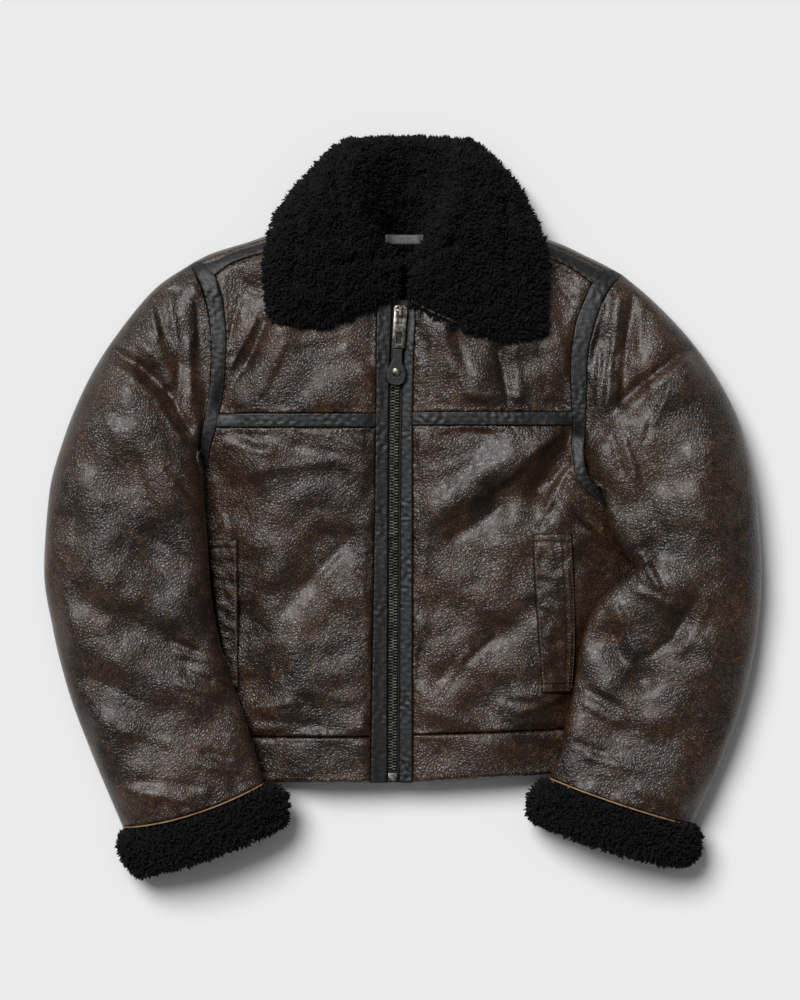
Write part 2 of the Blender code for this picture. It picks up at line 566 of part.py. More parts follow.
def cuff_ring(half, w, turns, shrink):
    """One ring of a cuff at w along it; shrink is the wall taken off for its inner face."""
    ox, oy, ix, iy, bow = (smooth(half.cuff, c, w) for c in (1, 2, 3, 4, 5))
    phi = turns * 2 * np.pi
    s = (1 - np.cos(phi)) / 2
    middle, reach = 0.5, 0.5 - shrink / (np.hypot(ix - ox, iy - oy) * STEP)
    t = middle + (s - 0.5) / 0.5 * reach
    x = ox + (ix - ox) * t
    y = oy + (iy - oy) * t + bow * 4 * t * (1 - t)
    round_end = round_in(np.minimum(w, 1 - w) + 0.06, 0.3)
    full = 44 + 24 * round_end
    top = full - shrink
    low = over_body(x, y, 4.0) + shrink
    mid = full * 0.42 + 0.2 * (low - shrink)
    swing = np.abs(np.sin(phi)) ** 0.65
    z = np.where(phi < np.pi, mid + (top - mid) * swing, mid - (mid - low) * swing)
    return mm(x, y, z)


def add_cuff(half):
    turns = np.linspace(0, 1, 25)[:-1]
    stops = [0.0, 0.12, 0.35, 0.65, 0.88, 1.0]
    outer = np.array([cuff_ring(half, w, turns, 0.0) for w in stops])
    inner = np.array([cuff_ring(half, w, turns, CUFF_WALL) for w in stops])
    wall("cuff_" + half.word, outer, inner, WOOL, ring=True)


def collar_point(s, t):
    """Point of the collar's woolly face: s from its foot over the crest to its outer edge."""
    fx, fy, fz, cx, cy, cz, ex, ey = (smooth(COLLAR, c, t) for c in range(1, 9))
    up, out = np.clip(s / 0.4, 0, 1), np.clip((s - 0.4) / 0.6, 0, 1)
    x = fx + (cx - fx) * up + (ex - cx) * out
    y = fy + (cy - fy) * up + (ey - cy) * out
    rim = (y - smooth(SHOULDER, 1, x)) * STEP
    inner = front_height(x + (cx - ex) * 0.13, y + (cy - ey) * 0.13)
    inner = np.maximum(inner, front_height(x, y + 7))
    foot = (np.maximum(front_height(x, y), inner) + 3.6) * ease((rim + 26) / 14) + 1.0
    rising = fz + (cz - fz) * np.sin(up * np.pi / 2)
    falling = foot + (cz - foot) * np.sqrt(np.maximum(1 - out**2.4, 0))
    return mm(x, y, np.where(s < 0.4, rising, falling))


def add_collar():
    s = np.array([0, 0.1, 0.2, 0.3, 0.4, 0.52, 0.66, 0.8, 0.9, 0.97, 1.0])
    stops = {
        "collar_left": [0, 0.035, 0.07, 0.105, 0.14, 0.175, 0.21, 0.245, 0.28, 0.3, 0.32, 0.34, 0.37, 0.4, 0.436],
        "collar_back": [0.444, 0.46, 0.48, 0.5, 0.52, 0.54, 0.557],
        "collar_right": [0.5635, 0.6, 0.63, 0.66, 0.68, 0.7, 0.72, 0.755, 0.79, 0.825, 0.86, 0.895, 0.93, 0.965, 1.0],
    }
    for name, along in stops.items():
        u, v = np.meshgrid(s, np.array(along))
        outer = collar_point(u, v)
        normal = path_normals(collar_point, u, v)
        if normal[len(along) // 2, 4, 2] < 0:
            normal = -normal
        thick = BACK_HOOD_WALL if name == "collar_back" else HOOD_WALL
        wall(name, outer, outer - normal * thick, WOOL)


def extruded(name, outline, low, high, look):
    """An upright prism over a plan outline in mm."""
    n = len(outline)
    points = [(x, y, low) for x, y in outline] + [(x, y, high) for x, y in outline]
    faces = [tuple(reversed(range(n))), tuple(range(n, 2 * n))]
    faces += [(i, (i + 1) % n, n + (i + 1) % n, n + i) for i in range(n)]
    return add_mesh(name, np.array(points, float), faces, look)


def cells(name, xs, ys, open_cells, low, high, look):
    """A plate built from cells of a grid, with some left open."""
    filled = {(i, j) for i in range(len(xs) - 1) for j in range(len(ys) - 1)} - set(open_cells)
    number, points, faces = {}, [], []

    def at(i, j, top):
        if (i, j, top) not in number:
            number[i, j, top] = len(points)
            points.append((xs[i], ys[j], high if top else low))
        return number[i, j, top]

    for i, j in sorted(filled):
        square = [(i, j), (i + 1, j), (i + 1, j + 1), (i, j + 1)]
        faces.append(tuple(at(a, b, True) for a, b in square))
        faces.append(tuple(at(a, b, False) for a, b in reversed(square)))
        for (a, b), (c, d), beyond in (
            (square[0], square[1], (i, j - 1)), (square[1], square[2], (i + 1, j)),
            (square[2], square[3], (i, j + 1)), (square[3], square[0], (i - 1, j)),
        ):
            if beyond not in filled:
                faces.append((at(a, b, False), at(c, d, False), at(c, d, True), at(a, b, True)))
    return add_mesh(name, np.array(points, float), faces, look)


def boolean(item, other, operation):
    step = item.modifiers.new(operation.lower(), "BOOLEAN")
    step.object, step.operation, step.solver = other, operation, "EXACT"
    other.hide_render, other.display_type = True, "WIRE"


PULL_AT = (400.6, 311.5)  # grid place of the pull's hinge
CHAIN_TOP = 2.4  # over the body's own surface
SLIDER_HIGH = 4.6
HINGE_OVER = 2.0  # from the slider's top up to the hinge of the pull
PULL_TILT = np.radians(2.2)
PULL_SLANT = np.radians(-3.6)  # the hanging pull's turn to one side


def pull_z():
    """Height of the pull's hinge."""
    return float(front_height(np.array(PULL_AT[0]), np.array(330.0))) + CHAIN_TOP + 0.6 + SLIDER_HIGH + HINGE_OVER


def tilt(item, origin):
    """Turns a level piece about the hinge, slants it and puts the object's origin there."""
    c, s = np.cos(PULL_TILT), np.sin(PULL_TILT)
    along, aside = np.cos(PULL_SLANT), np.sin(PULL_SLANT)
    for vertex in item.data.vertices:
        x, y, z = vertex.co
        y, z = y * c - z * s, y * s + z * c
        vertex.co = (x * along - y * aside, x * aside + y * along, z)
    item.location = origin


def add_zip():
    stops = LEFT.zip_stops()[:, None]
    stops = np.concatenate([[[317.0]], stops[(stops[:, 0] > 320) & (stops[:, 0] < 770)], [[772.6]]])
    x = smooth(ZIP_LINE, 1, stops) + np.array([[-4.7, 0, 4.7]])
    panel("zip_chain", front_height, x, stops + 0 * x, METAL, CHAIN_TOP, 3.7)
    px, py = mm(*PULL_AT, 0)[:2]
    hinge = pull_z()
    top = hinge - HINGE_OVER
    w, a, b = 7.1, py + 5.6, py - 15.4
    body = extruded("zip_slider", [
        (px - w + 2, a), (px + w - 2, a), (px + w, a - 3), (px + w, a - 11), (px + w - 2.4, b + 1.5),
        (px + w - 3.6, b), (px - w + 3.6, b), (px - w + 2.4, b + 1.5), (px - w, a - 11), (px - w, a - 3),
    ], top - SLIDER_HIGH, top, METAL)
    # the bridge is a staple along the zip, through the pull's slot
    outline = [(5.0, -1.5), (5.0, 4.9), (3.6, 6.6), (-5.2, 6.6), (-6.6, 4.9), (-6.6, -1.5),
               (-5.0, -1.5), (-5.0, 4.4), (-4.4, 5.0), (2.8, 5.0), (3.4, 4.4), (3.4, -1.5)]
    n = len(outline)
    points = [(px - 1.7, py + y, top + z) for y, z in outline] + [(px + 1.7, py + y, top + z) for y, z in outline]
    faces = [tuple(range(n)), tuple(reversed(range(n, 2 * n)))]
    faces += [(i, (i + 1) % n, n + (i + 1) % n, n + i) for i in range(n)]
    staple = add_mesh("staple", np.array(points), faces, METAL)
    boolean(body, staple, "UNION")
    origin = (px / 1000, py / 1000, hinge / 1000)
    plate = cells("zip_pull", [-6.8, -2.7, 2.7, 6.8], [1.3, -1.3, -13.6, -22.5, -34.5, -39.2],
                  [(1, 1), (1, 3)], -1.1, 1.1, METAL)
    rows = ((-39.5, 5.9), (-45, 5.2), (-52, 5.8), (-58, 8.2), (-64, 10.2), (-70, 10.6), (-75, 8.6), (-78.5, 4.2))
    shape = [(h, y) for y, h in rows] + [(-h, y) for y, h in reversed(rows)]
    tab = extruded("zip_tab", shape, -1.6, 1.6, BLACK)
    circle = [(-0.4 + 4.6 * np.cos(a), -64 + 4.6 * np.sin(a)) for a in np.arange(20) * np.pi / 10]
    rivet = extruded("zip_rivet", circle, 1.9, 3.4, METAL)
    for item in (plate, tab, rivet):
        tilt(item, origin)
    bx, by = mm(392.6, 777.3, 0)[:2]
    bz = float(front_height(np.array(392.6), np.array(777.0)))
    extruded("zip_box", [(bx - 4.8, by + 4.2), (bx + 4.8, by + 4.2), (bx + 4.8, by - 4.2), (bx - 4.8, by - 4.2)],
             bz - 1.3, bz + 3.2, METAL)


def add_neck():
    x, y = np.meshgrid(np.linspace(366, 440, 5), np.linspace(243, 300, 4))
    base = mm(x, y, 9.0)
    wall("neck_lining", base, base - np.array([0, 0, 4.5]), WOOL)
    across = np.linspace(-1, 1, 7)
    x, y = np.meshgrid(404.5 + 13.5 * across, np.array([234.0, 239.0, 244.0]))
    z = 42.0 + 6.0 * ((x - 404.5) / 13.5) ** 4 + 0 * y
    base = mm(x, y, z)
    wall("hanger_loop", base, base - np.array([0, 0, 2.4]), BLACK)


def main():
    for item in list(bpy.data.objects):
        bpy.data.objects.remove(item, do_unlink=True)
    add_back()
    for half in (LEFT, RIGHT):
        add_front(half)
        add_sleeve(half)
        add_cuff(half)
    add_collar()
    add_zip()
    add_neck()


main()
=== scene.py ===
"""Dresses the sheepskin flight jacket: leather skins, bindings, wool, stitching and zip.

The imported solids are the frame. Plan places are on the same drawing grid as the solids', whose steps
are STEP mm, x to the right and y down the jacket, and heights are mm over the floor. Left and right
are as seen from above, collar away.
"""

import bpy
import numpy as np
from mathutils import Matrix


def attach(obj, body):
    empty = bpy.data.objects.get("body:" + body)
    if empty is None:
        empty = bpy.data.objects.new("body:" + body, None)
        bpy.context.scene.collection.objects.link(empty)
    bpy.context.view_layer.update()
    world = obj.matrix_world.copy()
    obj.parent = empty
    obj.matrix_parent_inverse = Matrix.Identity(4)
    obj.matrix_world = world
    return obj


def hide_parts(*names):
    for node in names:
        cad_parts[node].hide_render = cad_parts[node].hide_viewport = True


bl_info = {
    "name": "Sheepskin flight jacket",
    "version": (1, 0, 0),
    "blender": (4, 5, 0),
    "location": "3D View > Sidebar > Jacket",
    "description": "Dresses the packed jacket with its leather, wool, bindings, stitching and zip",
    "category": "Object",
}

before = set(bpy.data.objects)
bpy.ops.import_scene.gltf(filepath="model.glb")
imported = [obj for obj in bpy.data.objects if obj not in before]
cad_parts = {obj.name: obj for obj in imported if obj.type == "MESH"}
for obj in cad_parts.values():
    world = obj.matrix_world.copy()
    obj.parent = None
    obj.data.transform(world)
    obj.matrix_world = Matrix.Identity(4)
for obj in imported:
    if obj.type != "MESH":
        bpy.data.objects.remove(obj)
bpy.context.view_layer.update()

STEP = 1.05  # mm in one step of the drawing grid
MIDDLE = (402.8, 505.75)  # grid place of the origin
WALL = 4.0  # skin with its wool, pressed flat
BINDING = 1.0  # how far the black bindings stand proud
PLACKET = 1.4
GAP = 0.2  # mm that each piece keeps from a seam line
SHOULDER_Z = 24.0  # height of the fold that runs round the shoulders
SIDE_Z = 14.0  # height of the side seams
HOOD_WALL = 9.0  # collar skin with its long wool
CUFF_WALL = 13.0

# grid y, height of the closed front beside the zip
CHEST = (
    (200, 52), (260, 57), (300, 60), (350, 64), (414, 63), (480, 60), (560, 56),
    (650, 51), (737, 45), (783, 41),
)
# grid y, grid x of the zip
ZIP_LINE = ((297, 400.5), (324, 399), (360, 396.8), (400, 394.8), (500, 393.8), (783, 392.3))
# grid x, grid y of the fold round the shoulders, with the back neck between them
SHOULDER = (
    (180, 269), (190, 263.5), (202, 256.5), (220, 249.5), (244, 242.5), (262, 236),
    (300, 224), (331.6, 217), (355, 224), (403, 229), (450, 224), (467, 219), (510, 227),
    (548, 238), (570, 247), (590, 257), (606, 264.5), (622, 273.5), (632, 279),
)
# armhole seams, from the shoulder fold to the armpit: outer x, y and inner x, y of the binding
ARM_LEFT = (
    (190, 263.5, 191.5, 262.6), (192.5, 267, 202, 262.5), (196.5, 274, 214, 275),
    (203, 289, 219.5, 290), (208.5, 309, 223.5, 310), (211.5, 335, 226, 335),
    (212, 362, 225.5, 362), (210.5, 388, 223.5, 388), (206.5, 414, 219, 414),
    (203.5, 427, 216, 427), (201.5, 438, 212.5, 438), (200.5, 446, 210, 447),
    (201, 453, 208.5, 454), (204, 459, 207, 460),
)
ARM_RIGHT = (
    (622, 273.5, 620.5, 272.6), (619, 277, 608, 270), (611.5, 285, 593, 283),
    (602.5, 300, 585, 300), (595, 320, 577, 320), (589, 343, 573, 343),
    (586, 367, 571, 367), (586, 390, 571.5, 390), (585.5, 412.5, 572.5, 412.5),
    (585, 425, 573, 425), (583, 452, 572.5, 452), (586, 472, 576, 474),
    (592, 482, 583.5, 487), (599, 488.5, 594, 496),
)
# edge of the body below the armpit, under the sleeve, down to the hem seam: x, y
SIDE_LEFT = (
    (192, 467.5), (178, 476), (180, 500), (186, 539), (193, 575), (202, 612), (211, 650),
    (219.5, 690), (224.5, 715), (229, 738),
)
SIDE_RIGHT = (
    (622, 507.5), (640, 516), (648, 533), (652, 572), (641, 605), (628, 640), (617, 668),
    (606, 693), (598, 712), (591, 728),
)
HEM_LEFT = ((229, 738), (232, 760), (236, 783))
HEM_RIGHT = ((591, 728), (587, 749), (584, 770))
# shoulder binding: grid x, its upper and lower y (the lower line goes on as the neckline)
BAND_LEFT = ((202, 265), (214, 261.5), (235, 251.5), (260, 243.8), (300, 231), (332, 222))
YOKE_LEFT = (
    (214, 275), (235, 260.5), (260, 253), (300, 240), (325, 233.5), (331.6, 232.5),
    (345, 247), (360, 268), (378, 297),
)
BAND_RIGHT = ((467, 223), (478, 225), (510, 234), (548, 245.5), (575, 257.3), (590, 264.5), (608, 273))
YOKE_RIGHT = (
    (415, 300), (430, 282), (445, 262), (458, 243), (467, 234), (480, 235.5), (510, 242),
    (548, 257), (570, 266.5), (593, 283),
)
# plackets: grid y, outer x, inner x
EDGE_LEFT = ((297, 378, 392), (324, 377.5, 391), (360, 377, 389.5), (420, 376.5, 388), (783, 371, 387))
EDGE_RIGHT = ((300, 415, 409), (324, 414.5, 407), (360, 413, 404), (420, 412, 402), (783, 412, 399.5))
# the right welt's outer edge: grid y, x
WELT_EDGE = ((530, 572), (640, 576.5), (694, 573))
# pocket's inner edge: grid y, x
POCKET_LEFT = ((275, 262), (414, 238), (783, 238))
POCKET_RIGHT = ((283, 545), (412, 532), (533, 532), (693, 542), (783, 547))
# sleeves, from armhole to cuff: place along, outer x, y, inner x, y, height, height of the inner
# edge, bow towards the cuff
SLEEVE_LEFT = (
    (0.00, 190, 263.5, 204, 459, 56, 44, 0), (0.08, 158, 285, 204, 472, 66, 48, 0),
    (0.17, 119, 330, 204, 486, 72, 49, 0), (0.27, 90, 375, 205, 502, 75, 49, 0),
    (0.37, 64, 435, 206, 521, 76, 48, 0), (0.47, 48, 495, 208, 545, 76, 47, 0),
    (0.58, 43, 570, 212, 600, 74, 46, 0), (0.69, 52, 630, 221, 645, 71, 44, 0),
    (0.80, 67, 690, 235, 690, 68, 43, 1), (0.91, 90, 752, 251, 737, 66, 42, 4),
    (1.00, 122, 828, 264, 783, 64, 40, 8),
)
SLEEVE_RIGHT = (
    (0.00, 622, 273.5, 599, 488.5, 56, 46, 0), (0.08, 650, 297, 607, 496, 66, 49, 0),
    (0.17, 689, 337, 607, 511, 71, 50, 0), (0.27, 719, 379, 611, 531, 74, 50, 0),
    (0.36, 741, 423, 621, 550, 75, 49, 0), (0.44, 752, 464, 635, 571, 75, 47, 0),
    (0.49, 758, 500, 619, 582, 74, 46, 0), (0.56, 763, 570, 602, 596, 73, 46, 0),
    (0.67, 758, 637, 584, 630, 71, 45, 0), (0.79, 743, 706, 573, 690, 68, 43, 0),
    (0.90, 720, 768, 562, 737, 66, 42, 1), (1.00, 693, 826, 550, 778, 64, 40, 2),
)
# cuffs: place along, outer x, y, inner x, y, bow
CUFF_LEFT = (
    (0.0, 121.8, 828.5, 264.3, 783.5, 8), (0.12, 118, 839, 276, 785, 8), (0.35, 118, 851, 287, 794, 7),
    (0.65, 123, 864, 291, 809, 6), (0.88, 134, 875, 285, 822, 6), (1.0, 145, 879, 275, 831, 6),
)
CUFF_RIGHT = (
    (0.0, 693.2, 826.5, 549.7, 778.5, 2), (0.12, 700, 833, 536, 782, 3), (0.35, 703, 842, 529, 791, 4),
    (0.65, 700, 855, 526, 804, 6), (0.88, 690, 865, 529, 816, 7), (1.0, 680, 869, 538, 822, 8),
)
# collar, from its left front end round the back to the right one: place along, foot x, y, z,
# crest x, y, z, outer edge x, y
COLLAR = (
    (0.00, 403.0, 258, 56, 401.5, 281, 68, 400.5, 301), (0.07, 400, 252, 50, 388, 276, 76, 372, 311),
    (0.14, 397, 248, 44, 371, 262, 84, 322, 331), (0.21, 394, 244, 38, 357, 238, 90, 267, 318),
    (0.28, 392, 241, 33, 348, 208, 90, 261, 270), (0.35, 390, 239, 28, 348, 182, 82, 269, 218),
    (0.40, 391, 238, 21, 358, 160, 68, 306, 168), (0.44, 394, 237, 16.5, 378, 148, 52, 346, 135),
    (0.50, 404, 236, 13.3, 408, 145, 38, 407, 132.5), (0.56, 414, 237, 16.5, 440, 149, 52, 469, 136),
    (0.60, 418, 238, 21, 456, 162, 68, 508, 165), (0.65, 420, 239, 28, 457, 184, 82, 538, 212),
    (0.72, 419, 241, 33, 452, 210, 90, 551, 268), (0.79, 417, 244, 38, 447, 238, 90, 549, 332),
    (0.86, 414, 248, 44, 438, 262, 84, 507, 344), (0.93, 410, 252, 50, 422, 276, 76, 440, 322),
    (1.00, 407.5, 258, 56, 407.5, 282, 68, 406, 305),
)
# largest folds of the body: x, y of one end, x, y of the other, half width mm, height mm
BODY_FOLDS = (
    (262, 325, 226, 402, 12, -6), (282, 335, 246, 400, 14, 3), (300, 372, 340, 380, 30, 3),
    (445, 335, 470, 378, 26, 5), (499, 352, 507, 398, 12, -4), (545, 330, 550, 390, 20, 3),
    (572, 438, 540, 490, 14, -8), (540, 490, 531, 520, 14, -6), (552, 440, 440, 510, 16, 6),
    (500, 500, 440, 545, 18, -4), (250, 462, 345, 455, 18, 4), (350, 540, 290, 600, 22, -5),
    (495, 635, 440, 682, 15, -5), (505, 705, 552, 692, 13, 4), (248, 712, 290, 706, 12, 3),
)
# largest folds of the sleeves
LEFT_FOLDS = (
    (105, 352, 150, 376, 13, -7), (150, 376, 188, 424, 13, -7), (110, 388, 160, 470, 26, 5),
    (158, 300, 168, 340, 13, -5), (176, 312, 178, 396, 12, -5), (120, 520, 170, 560, 24, -4),
    (80, 600, 190, 650, 18, -4), (130, 795, 180, 800, 16, 4), (110, 690, 205, 722, 20, -4),
)
RIGHT_FOLDS = (
    (634, 306, 624, 396, 13, -7), (690, 352, 640, 388, 13, -6), (640, 388, 602, 428, 13, -5),
    (688, 366, 646, 436, 14, 5), (645, 575, 700, 600, 16, 5), (606, 640, 640, 678, 18, -7),
    (640, 678, 690, 606, 18, -6), (700, 470, 730, 560, 30, 4), (600, 740, 690, 730, 20, -4),
)

# soft creases of the body, finer than the solids' folds: x, y of one end, x, y of the other, half
# width mm, height mm
CREASES = (
    (560, 432, 512, 474, 5, 1.3), (549, 447, 498, 492, 6, -1.2), (522, 470, 468, 503, 6, 1.2),
    (500, 508, 452, 538, 6, -1.0), (577, 452, 552, 482, 4, -1.6), (567, 470, 546, 508, 4, 1.3),
    (556, 505, 541, 526, 3.5, -1.4), (470, 520, 425, 548, 7, 0.9), (486, 452, 440, 470, 7, 0.8),
    (492, 640, 466, 662, 4, -1.2), (470, 652, 440, 690, 5, 1.0), (520, 712, 560, 698, 4, 1.3),
    (508, 700, 540, 704, 4, -1.0), (430, 712, 470, 722, 5, 0.8), (546, 590, 552, 640, 5, 0.9),
    (440, 600, 420, 660, 8, -0.8), (576, 545, 600, 560, 4, 1.4), (580, 556, 606, 574, 4, -1.4),
    (584, 530, 610, 545, 4, 1.2), (574, 512, 596, 528, 3.5, -1.3), (590, 515, 604, 524, 3, 1.1),
    (236, 430, 262, 446, 5, -1.0), (228, 444, 270, 452, 5, 1.1), (262, 470, 330, 462, 6, 0.9),
    (296, 446, 352, 456, 5, -1.0), (330, 436, 362, 448, 4, 1.0), (214, 482, 226, 528, 5, 1.2),
    (222, 500, 232, 540, 4, -1.0), (352, 536, 300, 590, 6, -1.0), (340, 560, 305, 606, 6, 0.9),
    (290, 600, 262, 640, 7, -0.9), (252, 708, 286, 704, 4, 1.2), (262, 720, 320, 726, 5, -0.9),
    (300, 690, 350, 700, 7, 0.7), (366, 600, 372, 660, 6, 0.8), (255, 560, 250, 620, 6, -0.8),
    (266, 322, 244, 372, 4, -1.6), (256, 320, 232, 366, 3.5, 1.5), (246, 372, 228, 404, 4, 1.2),
    (240, 300, 228, 340, 4, -1.2), (284, 346, 262, 392, 5, 1.0), (300, 352, 340, 344, 6, -0.8),
    (346, 350, 366, 372, 6, 0.8), (230, 262, 262, 258, 5, 1.0), (236, 276, 256, 292, 5, -1.0),
    (443, 322, 452, 372, 6, 1.2), (456, 330, 470, 382, 5, -1.0), (498, 350, 508, 400, 4, -1.4),
    (514, 352, 520, 396, 5, 1.0), (548, 300, 560, 340, 6, 1.0), (538, 330, 545, 388, 5, -0.9),
    (556, 282, 572, 300, 4, -1.2), (424, 340, 430, 396, 5, -0.8), (470, 396, 520, 398, 4, 0.8),
)
# the same on the sleeves
LEFT_CREASES = (
    (104, 345, 140, 366, 4, -1.8), (98, 356, 138, 378, 4, 1.6), (140, 366, 168, 392, 4, -1.8),
    (134, 378, 164, 402, 4, 1.4), (168, 392, 190, 430, 4, -1.6), (160, 404, 182, 440, 4, 1.3),
    (155, 298, 166, 338, 4, -1.5), (148, 300, 158, 334, 4, 1.2), (170, 298, 180, 352, 4, 1.3),
    (180, 350, 178, 402, 4, -1.4), (190, 340, 192, 396, 4, 1.3), (196, 300, 200, 352, 3.5, -1.2),
    (150, 286, 176, 292, 5, -1.2), (128, 330, 150, 352, 5, 1.0), (120, 316, 142, 330, 4, -1.0),
    (110, 420, 128, 480, 6, 0.9), (140, 470, 160, 530, 6, -0.9), (172, 470, 196, 500, 5, -1.2),
    (176, 486, 200, 516, 4, 1.1), (160, 540, 196, 566, 5, -1.0), (96, 560, 110, 620, 7, 0.8),
    (170, 640, 196, 650, 4, -1.3), (178, 652, 206, 660, 4, 1.2), (186, 672, 210, 680, 4, -1.4),
    (180, 684, 214, 694, 4, 1.1), (206, 752, 228, 758, 4, -1.4), (196, 762, 236, 770, 4, 1.2),
    (90, 676, 140, 700, 6, -0.8), (120, 730, 170, 742, 5, 0.9), (128, 790, 190, 800, 5, 1.2),
    (140, 780, 200, 786, 4, -1.0), (62, 560, 74, 640, 7, 0.8), (70, 470, 78, 540, 6, -0.8),
)
RIGHT_CREASES = (
    (633, 298, 626, 345, 4, -1.6), (626, 345, 620, 402, 4, -1.5), (620, 300, 613, 350, 4, 1.4),
    (611, 352, 606, 404, 4, 1.3), (642, 308, 638, 352, 4, 1.2), (692, 346, 656, 372, 4, -1.6),
    (656, 372, 622, 400, 4, -1.6), (690, 358, 650, 386, 4, 1.5), (648, 388, 612, 424, 4, 1.4),
    (660, 398, 644, 440, 4, -1.3), (668, 384, 652, 424, 4, 1.3), (606, 300, 598, 340, 3.5, -1.2),
    (600, 352, 596, 400, 3.5, 1.2), (646, 296, 662, 312, 5, -1.0), (700, 392, 716, 440, 6, 0.9),
    (612, 440, 620, 470, 4, -1.4), (624, 440, 634, 476, 4, 1.3), (640, 470, 652, 520, 5, -1.0),
    (642, 556, 656, 586, 4, 1.6), (652, 560, 668, 596, 4, -1.3), (636, 590, 670, 606, 5, 1.1),
    (604, 612, 622, 660, 5, -1.2), (616, 606, 632, 650, 4, 1.2), (640, 660, 672, 640, 5, -1.2),
    (672, 640, 694, 600, 5, -1.1), (680, 652, 706, 610, 5, 1.1), (590, 690, 620, 708, 4, -1.3),
    (584, 704, 616, 722, 4, 1.2), (576, 742, 600, 752, 4, -1.3), (590, 756, 640, 770, 5, 1.2),
    (640, 790, 680, 806, 5, 1.0), (700, 640, 720, 700, 7, 0.8), (730, 520, 738, 600, 7, -0.8),
)
# dents in the collar's wool along its seams and folds
COLLAR_DENTS = (
    (342, 263, 398, 256, 6, -3.0), (405, 270, 452, 244, 6, -3.5), (505, 198, 506, 288, 5, -2.5),
    (300, 196, 292, 286, 5, -2.0), (372, 215, 392, 252, 5, -2.5), (330, 150, 345, 200, 8, -1.5),
    (470, 292, 520, 316, 8, -1.5), (300, 300, 345, 306, 7, 1.5), (480, 160, 470, 210, 8, -1.5),
)


def smooth(table, column, at):
    """A column of a table between its rows, on cubics that never overshoot."""
    rows = np.array(table, float)
    x, y = rows[:, 0], rows[:, column]
    h, d = np.diff(x), np.diff(y) / np.diff(x)
    slope = np.concatenate([d[:1], np.zeros(len(x) - 2), d[-1:]])
    for i in range(1, len(x) - 1):
        if d[i - 1] * d[i] > 0:
            a, b = 2 * h[i] + h[i - 1], h[i] + 2 * h[i - 1]
            slope[i] = (a + b) / (a / d[i - 1] + b / d[i])
    at = np.clip(at, x[0], x[-1])
    i = np.clip(np.searchsorted(x, at, side="right") - 1, 0, len(h) - 1)
    t = (at - x[i]) / h[i]
    return (
        (2 * t**3 - 3 * t**2 + 1) * y[i] + (t**3 - 2 * t**2 + t) * h[i] * slope[i]
        + (3 * t**2 - 2 * t**3) * y[i + 1] + (t**3 - t**2) * h[i] * slope[i + 1]
    )


def ease(t):
    t = np.clip(t, 0.0, 1.0)
    return t * t * (3 - 2 * t)


def round_in(distance, reach):
    """0 on an edge with an upright start, 1 from reach inwards."""
    return np.sqrt(np.maximum(1 - (1 - np.clip(distance / reach, 0.0, 1.0)) ** 2, 0.0))


def folds(table, x, y):
    """Soft ridges and troughs, each along the line between its two ends."""
    total = np.zeros(np.broadcast(x, y).shape)
    for x0, y0, x1, y1, half, height in table:
        dx, dy = x1 - x0, y1 - y0
        t = np.clip(((x - x0) * dx + (y - y0) * dy) / (dx * dx + dy * dy), 0, 1)
        off = np.hypot(x - x0 - t * dx, y - y0 - t * dy) * STEP
        total = total + height * np.exp(-((off / half) ** 2))
    return total


def side_line(rows, y):
    """Grid x of the body's edge below the armpit, held above and below its rows."""
    rows = [row for row in rows[1:]]
    return np.interp(y, [r[1] for r in rows], [r[0] for r in rows])


LEFT_EDGE = SIDE_LEFT + HEM_LEFT[1:]
RIGHT_EDGE = SIDE_RIGHT + HEM_RIGHT[1:]


def from_side(x, y):
    """Distance in mm from the nearer side edge of the body, and whether that is the left one."""
    left = x < 400
    near = np.where(left, x - side_line(LEFT_EDGE, y), side_line(RIGHT_EDGE, y) - x)
    return near * STEP, left


def front_height(x, y):
    """Outer height of the body's upper layer."""
    off_zip = (x - smooth(ZIP_LINE, 1, y)) * STEP
    full = smooth(CHEST, 1, y) - 5 * np.exp(-((off_zip / 26) ** 4))
    to_arm = 1 - 0.17 * ease((np.abs(off_zip) - 110) / 80)
    edge = round_in((y - smooth(SHOULDER, 1, x)) * STEP, 46)
    upper = SHOULDER_Z + (full * to_arm - SHOULDER_Z) * edge
    near, left = from_side(x, y)
    swell = 0.25 * round_in(near, 14) + 0.75 * ease(near / 100)
    lower = SIDE_Z + GAP + (full - SIDE_Z) * swell
    low = np.where(left, ease((y - 425) / 75), ease((y - 455) / 75))
    return upper * (1 - low) + lower * low + folds(BODY_FOLDS, x, y)


def back_height(x, y):
    """Height of the underside, which turns up at the sides and round the shoulders."""
    near, left = from_side(x, y)
    begins = np.where(left, ease((y - 459) / 30), ease((y - 499) / 30))
    side = (SIDE_Z - GAP) * (1 - round_in(near, 12)) * begins
    beside_neck = np.maximum(ease((345 - x) / 13), ease((x - 453) / 13))
    turn = SHOULDER_Z * (1 - round_in((y - smooth(SHOULDER, 1, x)) * STEP, 26))
    return side + turn * beside_neck


def over_body(x, y, clear=5.0):
    """Lowest height that a sleeve or cuff may have here: just over the body, or the floor."""
    near, left = from_side(x, y)
    hem = (np.where(left, 783.0, 770 + (584 - x) * 0.08) - y) * STEP
    inside = ease(np.minimum(near + 20, hem + 42) / 15)
    starts = np.where(left, ease((y - 436) / 22), ease((y - 468) / 22))
    return (front_height(x, y) + clear) * inside * starts


def mm(x, y, z):
    """Grid places and heights as points in mm from the origin."""
    x, y, z = np.broadcast_arrays(x, y, z)
    return np.stack([(x - MIDDLE[0]) * STEP, (MIDDLE[1] - y) * STEP, z], axis=-1)


def unit(v):
    return v / np.linalg.norm(v, axis=-1, keepdims=True)


